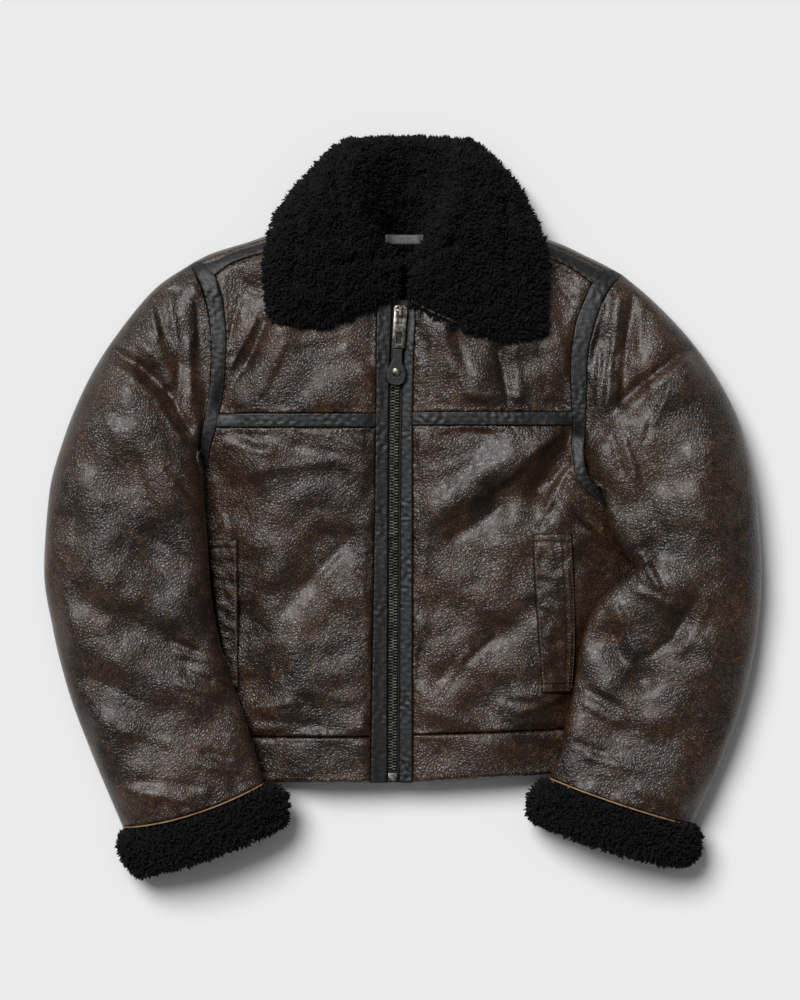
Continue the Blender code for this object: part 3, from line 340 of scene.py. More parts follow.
def height_normals(height, x, y):
    """Unit normals of the surface z = height(x, y), pointing up."""
    e = 0.005
    sx = (height(x + e, y) - height(x - e, y)) / (2 * e * STEP)
    sy = (height(x, y + e) - height(x, y - e)) / (-2 * e * STEP)
    return unit(np.stack([-sx, -sy, np.ones_like(sx)], axis=-1))


def path_normals(path, u, v):
    """Unit normals of a surface given as points path(u, v)."""
    e = 1e-5
    lo_u, hi_u = np.maximum(u - e, 0), np.minimum(u + e, 1)
    lo_v, hi_v = np.maximum(v - e, 0), np.minimum(v + e, 1)
    du = (path(hi_u, v) - path(lo_u, v)) / (hi_u - lo_u)[..., None]
    dv = (path(u, hi_v) - path(u, lo_v)) / (hi_v - lo_v)[..., None]
    return unit(np.cross(du, dv))


def seamed(x, y):
    """Plan places with all four borders drawn in by GAP."""
    x, y = x.copy(), y.copy()
    step = GAP / STEP
    for first, second in ((np.s_[:, 0], np.s_[:, 1]), (np.s_[:, -1], np.s_[:, -2]),
                          (np.s_[0, :], np.s_[1, :]), (np.s_[-1, :], np.s_[-2, :])):
        dx, dy = x[second] - x[first], y[second] - y[first]
        length = np.maximum(np.hypot(dx, dy), 1e-9)
        x[first] += dx / length * step
        y[first] += dy / length * step
    return x, y


ACROSS = np.array([0, 0.12, 0.24, 0.36, 0.48, 0.6, 0.73, 0.86, 0.96, 1.0])


def spread(u, at_zip, at_pocket, at_side):
    """Grid x of a column, which keeps the pocket's inner edge on a line of its own."""
    near = at_zip + (at_pocket - at_zip) * u / 0.6
    return np.where(u < 0.6, near, at_pocket + (at_side - at_pocket) * (u - 0.6) / 0.4)


class Half:
    """The tables of one half of the front."""

    def __init__(self, word, arm, side, hem, band, yoke, edge, pocket, seam_y, folds_of, sleeve, cuff):
        self.word, self.arm, self.side, self.hem = word, np.array(arm, float), side, hem
        self.band, self.yoke, self.edge, self.pocket = band, yoke, edge, pocket
        self.seam_y, self.folds, self.sleeve, self.cuff = seam_y, folds_of, sleeve, cuff
        self.top, self.bottom = edge[0][0], 783.0
        inner = self.arm[2:9, 3]
        self.rise = (inner[-1] - inner) / (inner[-1] - inner[0])

    def yoke_plan(self):
        """Grid of the yoke, from the shoulder and neckline down to the yoke binding."""
        u, v = ACROSS[None, :], self.rise[:, None]
        zip_y = self.arm[8, 3] + (self.top - self.arm[8, 3]) * v
        ends = [smooth(self.pocket, 1, self.arm[i, 3]) for i in (8, 2)]
        pocket = ends[0] + (ends[1] - ends[0]) * v
        x = spread(u, smooth(self.edge, 1, zip_y), pocket, self.arm[2:9, 2][:, None])
        y = self.arm[8, 3] + v * (smooth(self.yoke, 1, x[0])[None, :] - self.arm[8, 3])
        y[:, 0], y[:, -1] = zip_y[:, 0], self.arm[2:9, 3]
        return x, y

    def front_rows(self):
        """Side x, side y and zip y of the rows of the lower front."""
        rows = [(r[2], r[3]) for r in self.arm[9:]] + list(self.side)
        return np.array([(x, y, y + self.seam_y * np.clip((y - 640) / 90, 0, 1) ** 2) for x, y in rows])

    def hem_rows(self):
        drop = (self.bottom - self.hem[-1][1], self.seam_y)
        return np.array([
            (x, y, y + drop[1] + (drop[0] - drop[1]) * i / 2) for i, (x, y) in enumerate(self.hem)
        ])

    def rows_plan(self, rows, columns=ACROSS):
        u = columns[None, :]
        zip_x, side_x = smooth(self.edge, 1, rows[:, 2]), rows[:, 0]
        pocket = smooth(self.pocket, 1, rows[:, 1])
        x = spread(u, zip_x[:, None], pocket[:, None], side_x[:, None])
        return x, rows[:, 2][:, None] + (rows[:, 1] - rows[:, 2])[:, None] * u

    def zip_stops(self):
        """Grid y of every row line where it meets the placket."""
        return np.concatenate([self.yoke_plan()[1][:, 0], self.front_rows()[:, 2], self.hem_rows()[1:, 2]])

    def band_plan(self):
        """Grid of the shoulder binding, from the armhole in to the neck."""
        x, y = self.yoke_plan()
        u, lower_x, lower_y = ACROSS[2:], x[0, 2:], y[0, 2:]
        upper_x = lower_x + (self.arm[1, 2] - self.arm[2, 2]) * (u - 0.24) / 0.76
        upper_y = smooth(self.band, 1, upper_x)
        upper_y[-1] = self.arm[1, 3]
        return np.stack([upper_x, lower_x]), np.stack([upper_y, lower_y])


LEFT = Half("left", ARM_LEFT, SIDE_LEFT, HEM_LEFT, BAND_LEFT, YOKE_LEFT, EDGE_LEFT, POCKET_LEFT,
            -1.0, LEFT_FOLDS, SLEEVE_LEFT, CUFF_LEFT)
RIGHT = Half("right", ARM_RIGHT, SIDE_RIGHT, HEM_RIGHT, BAND_RIGHT, YOKE_RIGHT, EDGE_RIGHT, POCKET_RIGHT,
             7.0, RIGHT_FOLDS, SLEEVE_RIGHT, CUFF_RIGHT)


def sleeve_plan(half, v, s):
    """Plan place at v along the sleeve and s across it, from the outer edge to the inner one."""
    table = half.sleeve
    ox, oy, ix, iy = (smooth(table, c, v) for c in (1, 2, 3, 4))
    bow = smooth(table, 7, v) * 4 * s * (1 - s)
    x, y = ox + (ix - ox) * s, oy + (iy - oy) * s + bow
    length = half.arm[:, 1]
    place = (length - length[0]) / (length[-1] - length[0])
    near = 1 - ease(v / 0.3)
    first, last = half.arm[0], half.arm[-1]
    arm_x = np.interp(s, place, half.arm[:, 0]) - (first[0] + (last[0] - first[0]) * s)
    return x + arm_x * near, y


def sleeve_point(half, turn, v, upper):
    """Point of the sleeve's outer surface; turn goes from 0 on its outer edge to 1 on its inner."""
    phi, out = turn * np.pi, -1 if half is LEFT else 1
    s = (1 - np.cos(phi)) / 2
    x, y = sleeve_plan(half, v, s)
    height, rest = smooth(half.sleeve, 5, v), smooth(half.sleeve, 6, v)
    edge = SHOULDER_Z + (rest - SHOULDER_Z) * ease(s)
    near = 1 - ease(v / (0.14 - 0.09 * ease((s - 0.6) / 0.3)))
    near = near * ease(s / 0.03)  # the two sides meet all along the outer edge
    front = front_height(x, y)
    low_edge = edge + (front - edge) * near * ease((s - 0.6) / 0.4)
    floor = np.minimum(over_body(x, y), low_edge - 3)
    lower = low_edge - GAP - (low_edge - GAP - floor) * np.sin(phi) ** 0.6
    if upper:
        own = edge + GAP + (height - edge) * np.sin(phi) ** 0.75 + folds(half.folds, x, y) * np.sin(phi)
        top = own + (front + GAP - own) * near
        aside = out * 0.6 * ease((s - 0.7) / 0.2) * (1 - ease(v / 0.08))
        return mm(x + aside, y, np.maximum(top, lower + 2 * GAP + (16 + 12 * (1 - ease(v / 0.2))) * np.sin(phi) ** 0.55))
    by_arm = near * (1 - ease((s - 0.6) / 0.3))
    aside = out * (0.4 + 9 * ease((s - 0.65) / 0.25)) * (1 - ease((v - 0.06) / 0.16))
    return mm(x + aside, y, lower + (back_height(x, y) - lower) * by_arm)


def cuff_ring(half, w, turns, shrink):
    """One ring of a cuff at w along it; shrink is the wall taken off for its inner face."""
    ox, oy, ix, iy, bow = (smooth(half.cuff, c, w) for c in (1, 2, 3, 4, 5))
    phi = turns * 2 * np.pi
    s = (1 - np.cos(phi)) / 2
    middle, reach = 0.5, 0.5 - shrink / (np.hypot(ix - ox, iy - oy) * STEP)
    t = middle + (s - 0.5) / 0.5 * reach
    x = ox + (ix - ox) * t
    y = oy + (iy - oy) * t + bow * 4 * t * (1 - t)
    round_end = round_in(np.minimum(w, 1 - w) + 0.06, 0.3)
    full = 44 + 24 * round_end
    top = full - shrink
    low = over_body(x, y, 4.0) + shrink
    mid = full * 0.42 + 0.2 * (low - shrink)
    swing = np.abs(np.sin(phi)) ** 0.65
    z = np.where(phi < np.pi, mid + (top - mid) * swing, mid - (mid - low) * swing)
    return mm(x, y, z)


def collar_point(s, t):
    """Point of the collar's woolly face: s from its foot over the crest to its outer edge."""
    fx, fy, fz, cx, cy, cz, ex, ey = (smooth(COLLAR, c, t) for c in range(1, 9))
    up, out = np.clip(s / 0.4, 0, 1), np.clip((s - 0.4) / 0.6, 0, 1)
    x = fx + (cx - fx) * up + (ex - cx) * out
    y = fy + (cy - fy) * up + (ey - cy) * out
    rim = (y - smooth(SHOULDER, 1, x)) * STEP
    inner = front_height(x + (cx - ex) * 0.13, y + (cy - ey) * 0.13)
    inner = np.maximum(inner, front_height(x, y + 7))
    foot = (np.maximum(front_height(x, y), inner) + 3.6) * ease((rim + 26) / 14) + 1.0
    rising = fz + (cz - fz) * np.sin(up * np.pi / 2)
    falling = foot + (cz - foot) * np.sqrt(np.maximum(1 - out**2.4, 0))
    return mm(x, y, np.where(s < 0.4, rising, falling))


def linear(code):
    """Linear red, green and blue of an sRGB hex value."""
    shares = [int(code[i : i + 2], 16) / 255 for i in (1, 3, 5)]
    return tuple(c / 12.92 if c <= 0.04045 else ((c + 0.055) / 1.055) ** 2.4 for c in shares)


def through(grid, row, column):
    """Points of a coarse grid at rows and columns between its own, on curves through them."""
    lead = 2 * grid[:1] - grid[1:2]
    tail = 2 * grid[-1:] - grid[-2:-1]
    padded = np.concatenate([lead, grid, tail])
    lead = 2 * padded[:, :1] - padded[:, 1:2]
    tail = 2 * padded[:, -1:] - padded[:, -2:-1]
    padded = np.concatenate([lead, padded, tail], axis=1)

    def shares(at, count):
        whole = np.clip(np.floor(at).astype(int), 0, count - 2)
        t = at - whole
        return whole, (
            (-t + 2 * t**2 - t**3) / 2, (2 - 5 * t**2 + 3 * t**3) / 2,
            (t + 4 * t**2 - 3 * t**3) / 2, (t**3 - t**2) / 2,
        )

    r, by_row = shares(row, grid.shape[0])
    c, by_column = shares(column, grid.shape[1])
    total = 0
    for i in range(4):
        for j in range(4):
            total = total + (by_row[i] * by_column[j])[..., None] * padded[r + i, c + j]
    return total


class Weave:
    """A coarse grid of points, read at even shares across and along it."""

    def __init__(self, grid, scale=1.0):
        self.grid = grid
        across = np.linalg.norm(np.diff(grid, axis=1), axis=-1).mean(0)
        along = np.linalg.norm(np.diff(grid, axis=0), axis=-1).mean(1)
        self.wide, self.long = across.sum() * scale, along.sum() * scale
        self.u = np.concatenate([[0], np.cumsum(across)]) / across.sum()
        self.v = np.concatenate([[0], np.cumsum(along)]) / along.sum()

    def at(self, u, v):
        column = np.interp(u, self.u, np.arange(len(self.u)))
        row = np.interp(v, self.v, np.arange(len(self.v)))
        return through(self.grid, row, column)

    def inset(self, u, v):
        """Distance in mm from the nearest border."""
        return np.minimum(np.minimum(u, 1 - u) * self.wide, np.minimum(v, 1 - v) * self.long)


def crumple(x, y, wave, seed):
    """Uneven soft ripples about wave mm long, mostly from -1 to 1."""
    dice = np.random.default_rng(seed)
    total = np.zeros(np.broadcast(x, y).shape)
    for _ in range(7):
        turn, start = dice.uniform(0, np.pi), dice.uniform(0, 2 * np.pi)
        k = 2 * np.pi * STEP / (wave * dice.uniform(0.7, 1.5))
        along, aside = x * np.cos(turn) + y * np.sin(turn), y * np.cos(turn) - x * np.sin(turn)
        total = total + np.sin(k * along + start + 1.4 * np.sin(0.55 * k * aside + 2 * start))
    return total / 3.5


def leather_relief(x, y, creases):
    """Listed creases, soft unevenness and patches of fine wrinkles, in mm."""
    patch = ease(0.45 + 0.6 * crumple(x, y, 110, 4))
    fine = 0.5 - np.abs(crumple(x, y, 17, 3))
    soft = 2.9 * crumple(x, y, 88, 1) + 0.8 * crumple(x, y, 36, 2)
    return 1.5 * folds(creases, x, y) + soft + 0.4 * fine * patch


def cut_piece(x, y, proud=0.0, roll=1.1, pucker=0.75, relief=1.0):
    """Place function of a piece of leather over the body, through a coarse grid of plan places."""
    weave = Weave(np.stack(seamed(x, y), axis=-1), STEP)

    def place(u, v):
        at = weave.at(u, v)
        px, py, near = at[..., 0], at[..., 1], weave.inset(u, v)
        z = front_height(px, py) + proud + relief * ease(near / 10) * leather_relief(px, py, CREASES)
        z = z - roll * (1 - round_in(near, 3.5)) + pucker * np.exp(-near / 7) * crumple(px, py, 9, 5)
        return mm(px, py, z)

    place.weave = weave
    return place


def tape_piece(x, y, proud, thick=1.2):
    """Place function of a narrow binding with rounded edges and small puckers along its stitching."""
    grid = np.stack(np.broadcast_arrays(x, y), axis=-1).astype(float)
    if grid.shape[0] == 2:
        grid = grid.transpose(1, 0, 2)
    middle = grid.mean(axis=1, keepdims=True)
    wide = np.linalg.norm(grid[:, -1:] - grid[:, :1], axis=-1, keepdims=True) * STEP
    weave = Weave(middle + (grid - middle) * (1 + 1.6 / wide), STEP)

    def place(u, v):
        at = weave.at(u, v)
        px, py = at[..., 0], at[..., 1]
        across = np.minimum(u, 1 - u) * weave.wide
        z = front_height(px, py) + proud + 0.35 - thick * (1 - round_in(across, 1.8))
        z = z - 0.3 * np.exp(-((across - 1.9) / 0.6) ** 2)
        pull = np.exp(-across / 2.5)
        patch = ease(0.35 + 0.8 * crumple(px, py, 60, 12))
        return mm(px, py, z + (0.12 + 0.3 * pull + 0.3 * patch) * crumple(px, py, 7, 11))

    place.weave = weave
    return place


def flat_size(place):
    """Width, length and area in metres of the sheet that a place function draws."""
    u, v = np.meshgrid(np.linspace(0, 1, 25), np.linspace(0, 1, 25))
    p = place(u, v) / 1000
    across, along = np.diff(p, axis=1), np.diff(p, axis=0)
    wide = np.linalg.norm(across, axis=-1).sum(1).max()
    long = np.linalg.norm(along, axis=-1).sum(0).max()
    area = np.linalg.norm(np.cross(across[:-1], along[:, :-1]), axis=-1).sum()
    return (wide, long), min(max(area, 0.31 * wide * long), wide * long)


def only(item):
    bpy.ops.object.select_all(action="DESELECT")
    item.select_set(True)
    bpy.context.view_layer.objects.active = item


def finish_piece(item, node, body="jacket"):
    """Keeps a piece off the floor's underside, and puts it on its body in its solid's place."""
    co = np.empty(len(item.data.vertices) * 3)
    item.data.vertices.foreach_get("co", co)
    co[2::3] = np.maximum(co[2::3], 0.0)
    item.data.vertices.foreach_set("co", co)
    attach(item, body)
    if node:
        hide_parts(*([node] if isinstance(node, str) else node))
    return item


PLACES = {}


def laid(name, place, step, thick, looks, node, facing=1.0, sheet=True, body="jacket"):
    """A grid whose points a place function gives, with a wall behind its face."""
    (wide, long), area = flat_size(place)
    across, along = max(4, round(wide * 1000 / step)), max(4, round(long * 1000 / step))
    bpy.ops.object.select_all(action="DESELECT")
    bpy.ops.mesh.primitive_grid_add(x_subdivisions=across, y_subdivisions=along, size=1)
    item = bpy.context.object
    item.name = item.data.name = name
    co = np.empty(len(item.data.vertices) * 3)
    item.data.vertices.foreach_get("co", co)
    u, v = np.clip(co.reshape(-1, 3)[:, :2].T + 0.5, 0, 1)
    item.data.vertices.foreach_set("co", (place(u, v) / 1000).ravel())
    item.data.update()
    normals = np.empty(len(item.data.polygons) * 3)
    item.data.polygons.foreach_get("normal", normals)
    if normals.reshape(-1, 3)[:, 2].mean() * facing < 0:
        item.data.flip_normals()
    for look in looks:
        item.data.materials.append(look)
    wall = item.modifiers.new("wall", "SOLIDIFY")
    wall.thickness, wall.offset = thick / 1000, -1.0
    wall.material_offset = wall.material_offset_rim = len(looks) - 1
    only(item)
    bpy.ops.object.modifier_apply(modifier=wall.name)
    bpy.ops.object.shade_smooth()
    finish_piece(item, node, body)
    sheet and min(wide, long) > 0.0105
    PLACES[name] = place
    return item


def repeat(name, model, points, look, tip=None):
    """One mesh of many copies of a model; points holds the vertices of each, in mm."""
    faces = [tuple(p.vertices) for p in model.data.polygons]
    count, size = points.shape[:2]
    joined = [tuple(v + i * size for v in face) for i in range(count) for face in faces]
    mesh = bpy.data.meshes.new(name)
    mesh.from_pydata((points.reshape(-1, 3) / 1000).tolist(), [], joined)
    if tip is not None:
        mesh.attributes.new("tip", "FLOAT", "POINT").data.foreach_set("value", tip.ravel())
    mesh.materials.append(look)
    bpy.data.objects.remove(model, do_unlink=True)
    item = bpy.data.objects.new(name, mesh)
    bpy.context.collection.objects.link(item)
    only(item)
    bpy.ops.object.shade_smooth()
    return item


def vertices_of(item):
    co = np.empty(len(item.data.vertices) * 3)
    item.data.vertices.foreach_get("co", co)
    return co.reshape(-1, 3)


def lock_model():
    """One lock of wool: a triangle drawn out to a point in three steps, one unit high."""
    bpy.ops.object.select_all(action="DESELECT")
    bpy.ops.mesh.primitive_circle_add(vertices=3, radius=1.0, fill_type="NOTHING")
    bpy.ops.object.mode_set(mode="EDIT")
    bpy.ops.mesh.select_all(action="SELECT")
    for rise, swell in ((0.4, 1.1), (0.36, 0.72)):
        bpy.ops.mesh.extrude_region_move(TRANSFORM_OT_translate={"value": (0, 0, rise)})
        bpy.ops.transform.resize(value=(swell, swell, 1), center_override=(0, 0, 0))
    bpy.ops.mesh.extrude_region_move(TRANSFORM_OT_translate={"value": (0, 0, 0.24)})
    bpy.ops.mesh.merge(type="CENTER")
    bpy.ops.mesh.select_all(action="SELECT")
    bpy.ops.mesh.normals_make_consistent(inside=False)
    bpy.ops.object.mode_set(mode="OBJECT")
    return bpy.context.object


def stitch_model():
    """One stitch: a square rod along X, one unit long, with its ends drawn in by a bevel."""
    bpy.ops.object.select_all(action="DESELECT")
    bpy.ops.mesh.primitive_cube_add(size=1)
    bpy.ops.object.mode_set(mode="EDIT")
    bpy.ops.mesh.select_all(action="SELECT")
    bpy.ops.mesh.bevel(offset=0.28, segments=1)
    bpy.ops.object.mode_set(mode="OBJECT")
    return bpy.context.object


def wool_locks(name, roots, normals, lean, length, radius, seed, look):
    """Curly locks that stand on their roots, each bent its own way."""
    dice = np.random.default_rng(seed)
    count = len(roots)
    model = lock_model()
    co = vertices_of(model)
    stand = unit(normals + lean + dice.normal(0, 0.42, (count, 3)))
    side = unit(np.cross(stand, dice.normal(size=(count, 3))))
    third = np.cross(stand, side)
    tall = (length * dice.uniform(0.72, 1.18, count))[:, None, None]
    wide = (radius * dice.uniform(0.7, 1.25, count))[:, None, None]
    t = co[None, :, 2:3]
    curl = dice.uniform(0.8, 2.4, count)[:, None, None]
    points = roots[:, None, :] + stand[:, None, :] * tall * (t - 0.12 * t**2)
    points = points + side[:, None, :] * (co[None, :, 0:1] * wide + curl * (1 - np.cos(np.pi * t)) * 0.6)
    points = points + third[:, None, :] * (co[None, :, 1:2] * wide + curl * np.sin(np.pi * 1.15 * t) * 0.8)
    points[..., 2] = np.maximum(points[..., 2], 0.3)
    # share along each lock, which the wool material uses for the painted highlight on its ends
    tip = np.broadcast_to(t[..., 0], points.shape[:2]) * dice.uniform(0.55, 1.0, count)[:, None]
    return repeat(name, model, points, look, tip)


def stitch_run(place, us, vs, pitch):
    """Middles and directions of the stitches along a line given by shares across and along."""
    t = np.linspace(0, 1, 1500)
    line = place(us[0] + (us[1] - us[0]) * t, vs[0] + (vs[1] - vs[0]) * t)
    far = np.concatenate([[0], np.cumsum(np.linalg.norm(np.diff(line, axis=0), axis=-1))])
    stops = np.arange(pitch, far[-1] - pitch * 0.6, pitch)
    at = np.stack([np.interp(stops, far, line[:, i]) for i in range(3)], axis=-1)
    ahead = np.stack([np.interp(stops + 1, far, line[:, i]) for i in range(3)], axis=-1)
    behind = np.stack([np.interp(stops - 1, far, line[:, i]) for i in range(3)], axis=-1)
    return at, unit(ahead - behind)


def stitches(name, runs, look, pitch, thick=0.72):
    """All stitches of one thread, joined; runs holds place functions with their shares."""
    found = [stitch_run(place, us, vs, pitch) for place, us, vs in runs]
    at = np.concatenate([f[0] for f in found])
    run = np.concatenate([f[1] for f in found])
    side = unit(np.cross(np.array([0, 0, 1.0]), run))
    up = np.cross(run, side)
    model = stitch_model()
    co = vertices_of(model) * (pitch * 0.74, thick, thick)
    points = at[:, None, :] + run[:, None] * co[None, :, 0:1] + side[:, None] * co[None, :, 1:2]
    points = points + up[:, None] * (co[None, :, 2:3] + 0.12)
    return finish_piece(repeat(name, model, points, look), None)


def add(tree, kind, settings=None, **inputs):
    """Adds a shader node with its settings, and sets or links its inputs; _6 is input number 6."""
    item = tree.nodes.new("ShaderNode" + kind)
    for key, value in (settings or {}).items():
        setattr(item, key, value)
    for key, value in inputs.items():
        socket = item.inputs[int(key[1:]) if key[0] == "_" else key.replace("_", " ")]
        if isinstance(value, bpy.types.NodeSocket):
            tree.links.new(value, socket)
        else:
            socket.default_value = value
    return item


LOOKS = {}


def material(name, rough, metal=0.0, **shine):
    """An empty material of this name, with its tree, shader and places."""
    item = bpy.data.materials.new(name)
    item.use_nodes = True
    tree = item.node_tree
    shader = tree.nodes["Principled BSDF"]
    shader.inputs["Roughness"].default_value = rough
    shader.inputs["Metallic"].default_value = metal
    for key, value in shine.items():
        shader.inputs[key.replace("_", " ")].default_value = value
    return item, tree, shader, add(tree, "TexCoord").outputs["Object"]


def mixed(tree, share, first, second):
    """A colour between two others."""
    kind = {"data_type": "RGBA"}
    return add(tree, "Mix", kind, _0=share, _6=first, _7=second).outputs[2]


def stepped(tree, value, low, high, least=0.0, most=1.0):
    """A value stretched from low to high onto least to most, and held there."""
    item = add(tree, "MapRange", None, Value=value, _1=low, _2=high, _3=least, _4=most)
    return item.outputs["Result"]


def bumped(tree, shader, *layers):
    """Bumps laid over each other: height, depth in metres and strength of each."""
    normal = None
    for height, depth, strength in layers:
        item = add(tree, "Bump", None, Height=height, Distance=depth, Strength=strength)
        if normal:
            tree.links.new(normal, item.inputs["Normal"])
        normal = item.outputs["Normal"]
    tree.links.new(normal, shader.inputs["Normal"])


def pebbled_sheepskin():
    """Coated sheepskin, dyed brown under a near-black top coat that is rubbed through.

    It is glossy over pebbles a few mm wide, with rust brown where the coat is thin, and with painted shade: the
    near-black darkens the grain's creases.
    """
    colours, sizes = bpy.context.scene.jacket_colours, bpy.context.scene.jacket_sizes
    item, tree, shader, place = material("pebbled_sheepskin", 0.4, Coat_Weight=0.2, Coat_Roughness=0.28)
    noise = add(tree, "TexNoise", None, Vector=place, Scale=1 / 0.008, Detail=2.0).outputs["Color"]
    shift = {"operation": "MULTIPLY_ADD"}
    moved = add(tree, "VectorMath", shift, _0=noise, _1=(0.004,) * 3, _2=place).outputs[0]
    edges = {"feature": "DISTANCE_TO_EDGE"}
    pebble = add(tree, "TexVoronoi", edges, Vector=moved, Scale=1 / sizes.pebble).outputs["Distance"]
    small = add(tree, "TexVoronoi", edges, Vector=moved, Scale=1.9 / sizes.pebble).outputs["Distance"]
    cloud = add(tree, "TexNoise", None, Vector=place, Scale=1 / 0.07, Detail=4.0).outputs["Fac"]
    fleck = add(
        tree, "TexNoise", None, Vector=moved, Scale=1 / 0.012, Detail=6.0, Roughness=0.75
    ).outputs["Fac"]
    base = mixed(
        tree, stepped(tree, cloud, 0.38, 0.62), (*colours.leather_dark_and_crease_shade, 1), (*colours.leather, 1)
    )
    base = mixed(tree, stepped(tree, fleck, 0.5, 0.72, 0.0, 0.6), base, (*colours.leather_rub, 1))
    # painted shade: the grain's creases, near the pebbles' edges, are mixed towards the near-black
    base = mixed(tree, stepped(tree, pebble, 0.02, 0.2, 0.15, 1.0), (*colours.leather_dark_and_crease_shade, 1), base)
    tree.links.new(base, shader.inputs["Base Color"])
    tree.links.new(stepped(tree, fleck, 0.35, 0.7, 0.29, 0.43), shader.inputs["Roughness"])
    broad = add(tree, "TexNoise", None, Vector=place, Scale=1 / 0.02, Detail=2.0).outputs["Fac"]
    bumped(
        tree, shader, (broad, 0.003, 0.3), (stepped(tree, pebble, 0.0, 0.45), 0.0013, 0.42),
        (stepped(tree, small, 0.0, 0.35), 0.0004, 0.25),
    )
    return item


def smooth_leather(name, code, rough=0.5):
    """Thin glazed leather of the bindings: fine pores, and a satin gloss."""
    item, tree, shader, place = material(name, rough)
    pore = add(tree, "TexVoronoi", None, Vector=place, Scale=1 / 0.0011).outputs["Distance"]
    wave = add(tree, "TexNoise", None, Vector=place, Scale=1 / 0.006, Detail=3.0).outputs["Fac"]
    dark = tuple(0.55 * c for c in code)
    tree.links.new(
        mixed(tree, stepped(tree, wave, 0.3, 0.7), (*dark, 1), (*code, 1)), shader.inputs["Base Color"]
    )
    bumped(tree, shader, (wave, 0.0009, 0.4), (pore, 0.0002, 0.5))
    return item


def curly_wool(name, root, end, rough=0.85):
    """Dyed sheep's wool: nearly matt black, with a painted highlight: paler colour on the ends of its curls."""
    item, tree, shader, place = material(name, rough, Sheen_Weight=0.06, Sheen_Roughness=0.5)
    shader.inputs["Sheen Tint"].default_value = (0.35, 0.35, 0.37, 1)
    shader.inputs["Specular IOR Level"].default_value = 0.16
    tip = add(tree, "Attribute", {"attribute_name": "tip"}).outputs["Fac"]
    spot = add(tree, "TexNoise", None, Vector=place, Scale=1 / 0.007, Detail=3.0).outputs["Fac"]
    share = add(tree, "Math", {"operation": "MULTIPLY"}, _0=tip, _1=stepped(tree, spot, 0.3, 0.7))
    # painted highlight: the ends of the locks, where the spots rise, are mixed towards the paler tip colour
    tree.links.new(
        mixed(tree, share.outputs[0], (*root, 1), (*end, 1)), shader.inputs["Base Color"]
    )
    bumped(tree, shader, (spot, 0.002, 0.6))
    return item


def cut_hide():
    """The raw cut edge of a tanned skin: pale tan suede."""
    item, tree, shader, place = material("raw_cut_hide", 0.9)
    nap = add(tree, "TexNoise", None, Vector=place, Scale=1 / 0.002, Detail=3.0).outputs["Fac"]
    tree.links.new(
        mixed(tree, nap, (*linear("#6f5436"), 1), (*linear("#b08f66"), 1)), shader.inputs["Base Color"]
    )
    bumped(tree, shader, (nap, 0.0004, 0.6))
    return item


def aged_nickel():
    """Nickel-plated brass, tumbled dark: bright on the high spots and grey in the hollows."""
    item, tree, shader, place = material("aged_nickel", 0.3, 1.0)
    spot = add(tree, "TexNoise", None, Vector=place, Scale=1 / 0.004, Detail=4.0).outputs["Fac"]
    tree.links.new(
        mixed(tree, stepped(tree, spot, 0.35, 0.65), (*linear("#45423d"), 1), (*linear("#8b8881"), 1)),
        shader.inputs["Base Color"],
    )
    tree.links.new(stepped(tree, spot, 0.3, 0.7, 0.28, 0.42), shader.inputs["Roughness"])
    bumped(tree, shader, (spot, 0.0001, 0.2))
    return item


def woven_tape(name, code, thread=0.0011):
    """Polyester tape: a tight herringbone of matt threads, drawn a little coarse to show."""
    item, tree, shader, place = material(name, 0.78)
    turned = add(tree, "Mapping", None, Vector=place, Rotation=(0, 0, 0.7)).outputs[0]
    bands = {"wave_type": "BANDS"}
    one = add(tree, "TexWave", bands, Vector=turned, Scale=0.31 / thread, Distortion=0.4)
    two = add(tree, "TexWave", bands, Vector=place, Scale=0.31 / thread, Distortion=0.4)
    weft = add(tree, "Math", {"operation": "MULTIPLY"}, _0=one.outputs["Fac"], _1=two.outputs["Fac"])
    dark = tuple(0.35 * c for c in code)
    tree.links.new(mixed(tree, weft.outputs[0], (*dark, 1), (*code, 1)), shader.inputs["Base Color"])
    bumped(tree, shader, (weft.outputs[0], 0.0003, 0.6))
    return item


def sewing_thread(name, code):
    """Bonded polyester thread: slightly glossy twisted ply."""
    item, tree, shader, place = material(name, 0.55)
    twist = add(tree, "TexWave", None, Vector=place, Scale=0.31 / 0.0007).outputs["Fac"]
    dark = tuple(0.5 * c for c in code)
    tree.links.new(mixed(tree, twist, (*dark, 1), (*code, 1)), shader.inputs["Base Color"])
    return item


def look(name):
    """The finished material of this name, made once."""
    if name not in LOOKS:
        colours = bpy.context.scene.jacket_colours
        makers = {
            "leather": pebbled_sheepskin,
            "binding": lambda: smooth_leather("glazed_binding_leather", tuple(colours.binding)),
            "strap": lambda: smooth_leather("hanger_strap_leather", linear("#54575a"), 0.5),
            "wool": lambda: curly_wool("curly_wool", tuple(colours.wool), tuple(colours.wool_tip_highlight)),
            "lining": lambda: curly_wool("pressed_wool", tuple(colours.wool), tuple(colours.wool), 0.95),
            "edge": cut_hide,
            "nickel": aged_nickel,
            "tape": lambda: woven_tape("zip_tape", linear("#2b2d2e")),
            "black_thread": lambda: sewing_thread("black_thread", linear("#2e3031")),
            "brown_thread": lambda: sewing_thread("brown_thread", linear("#65503a")),
        }
        LOOKS[name] = makers[name]()
    return LOOKS[name]



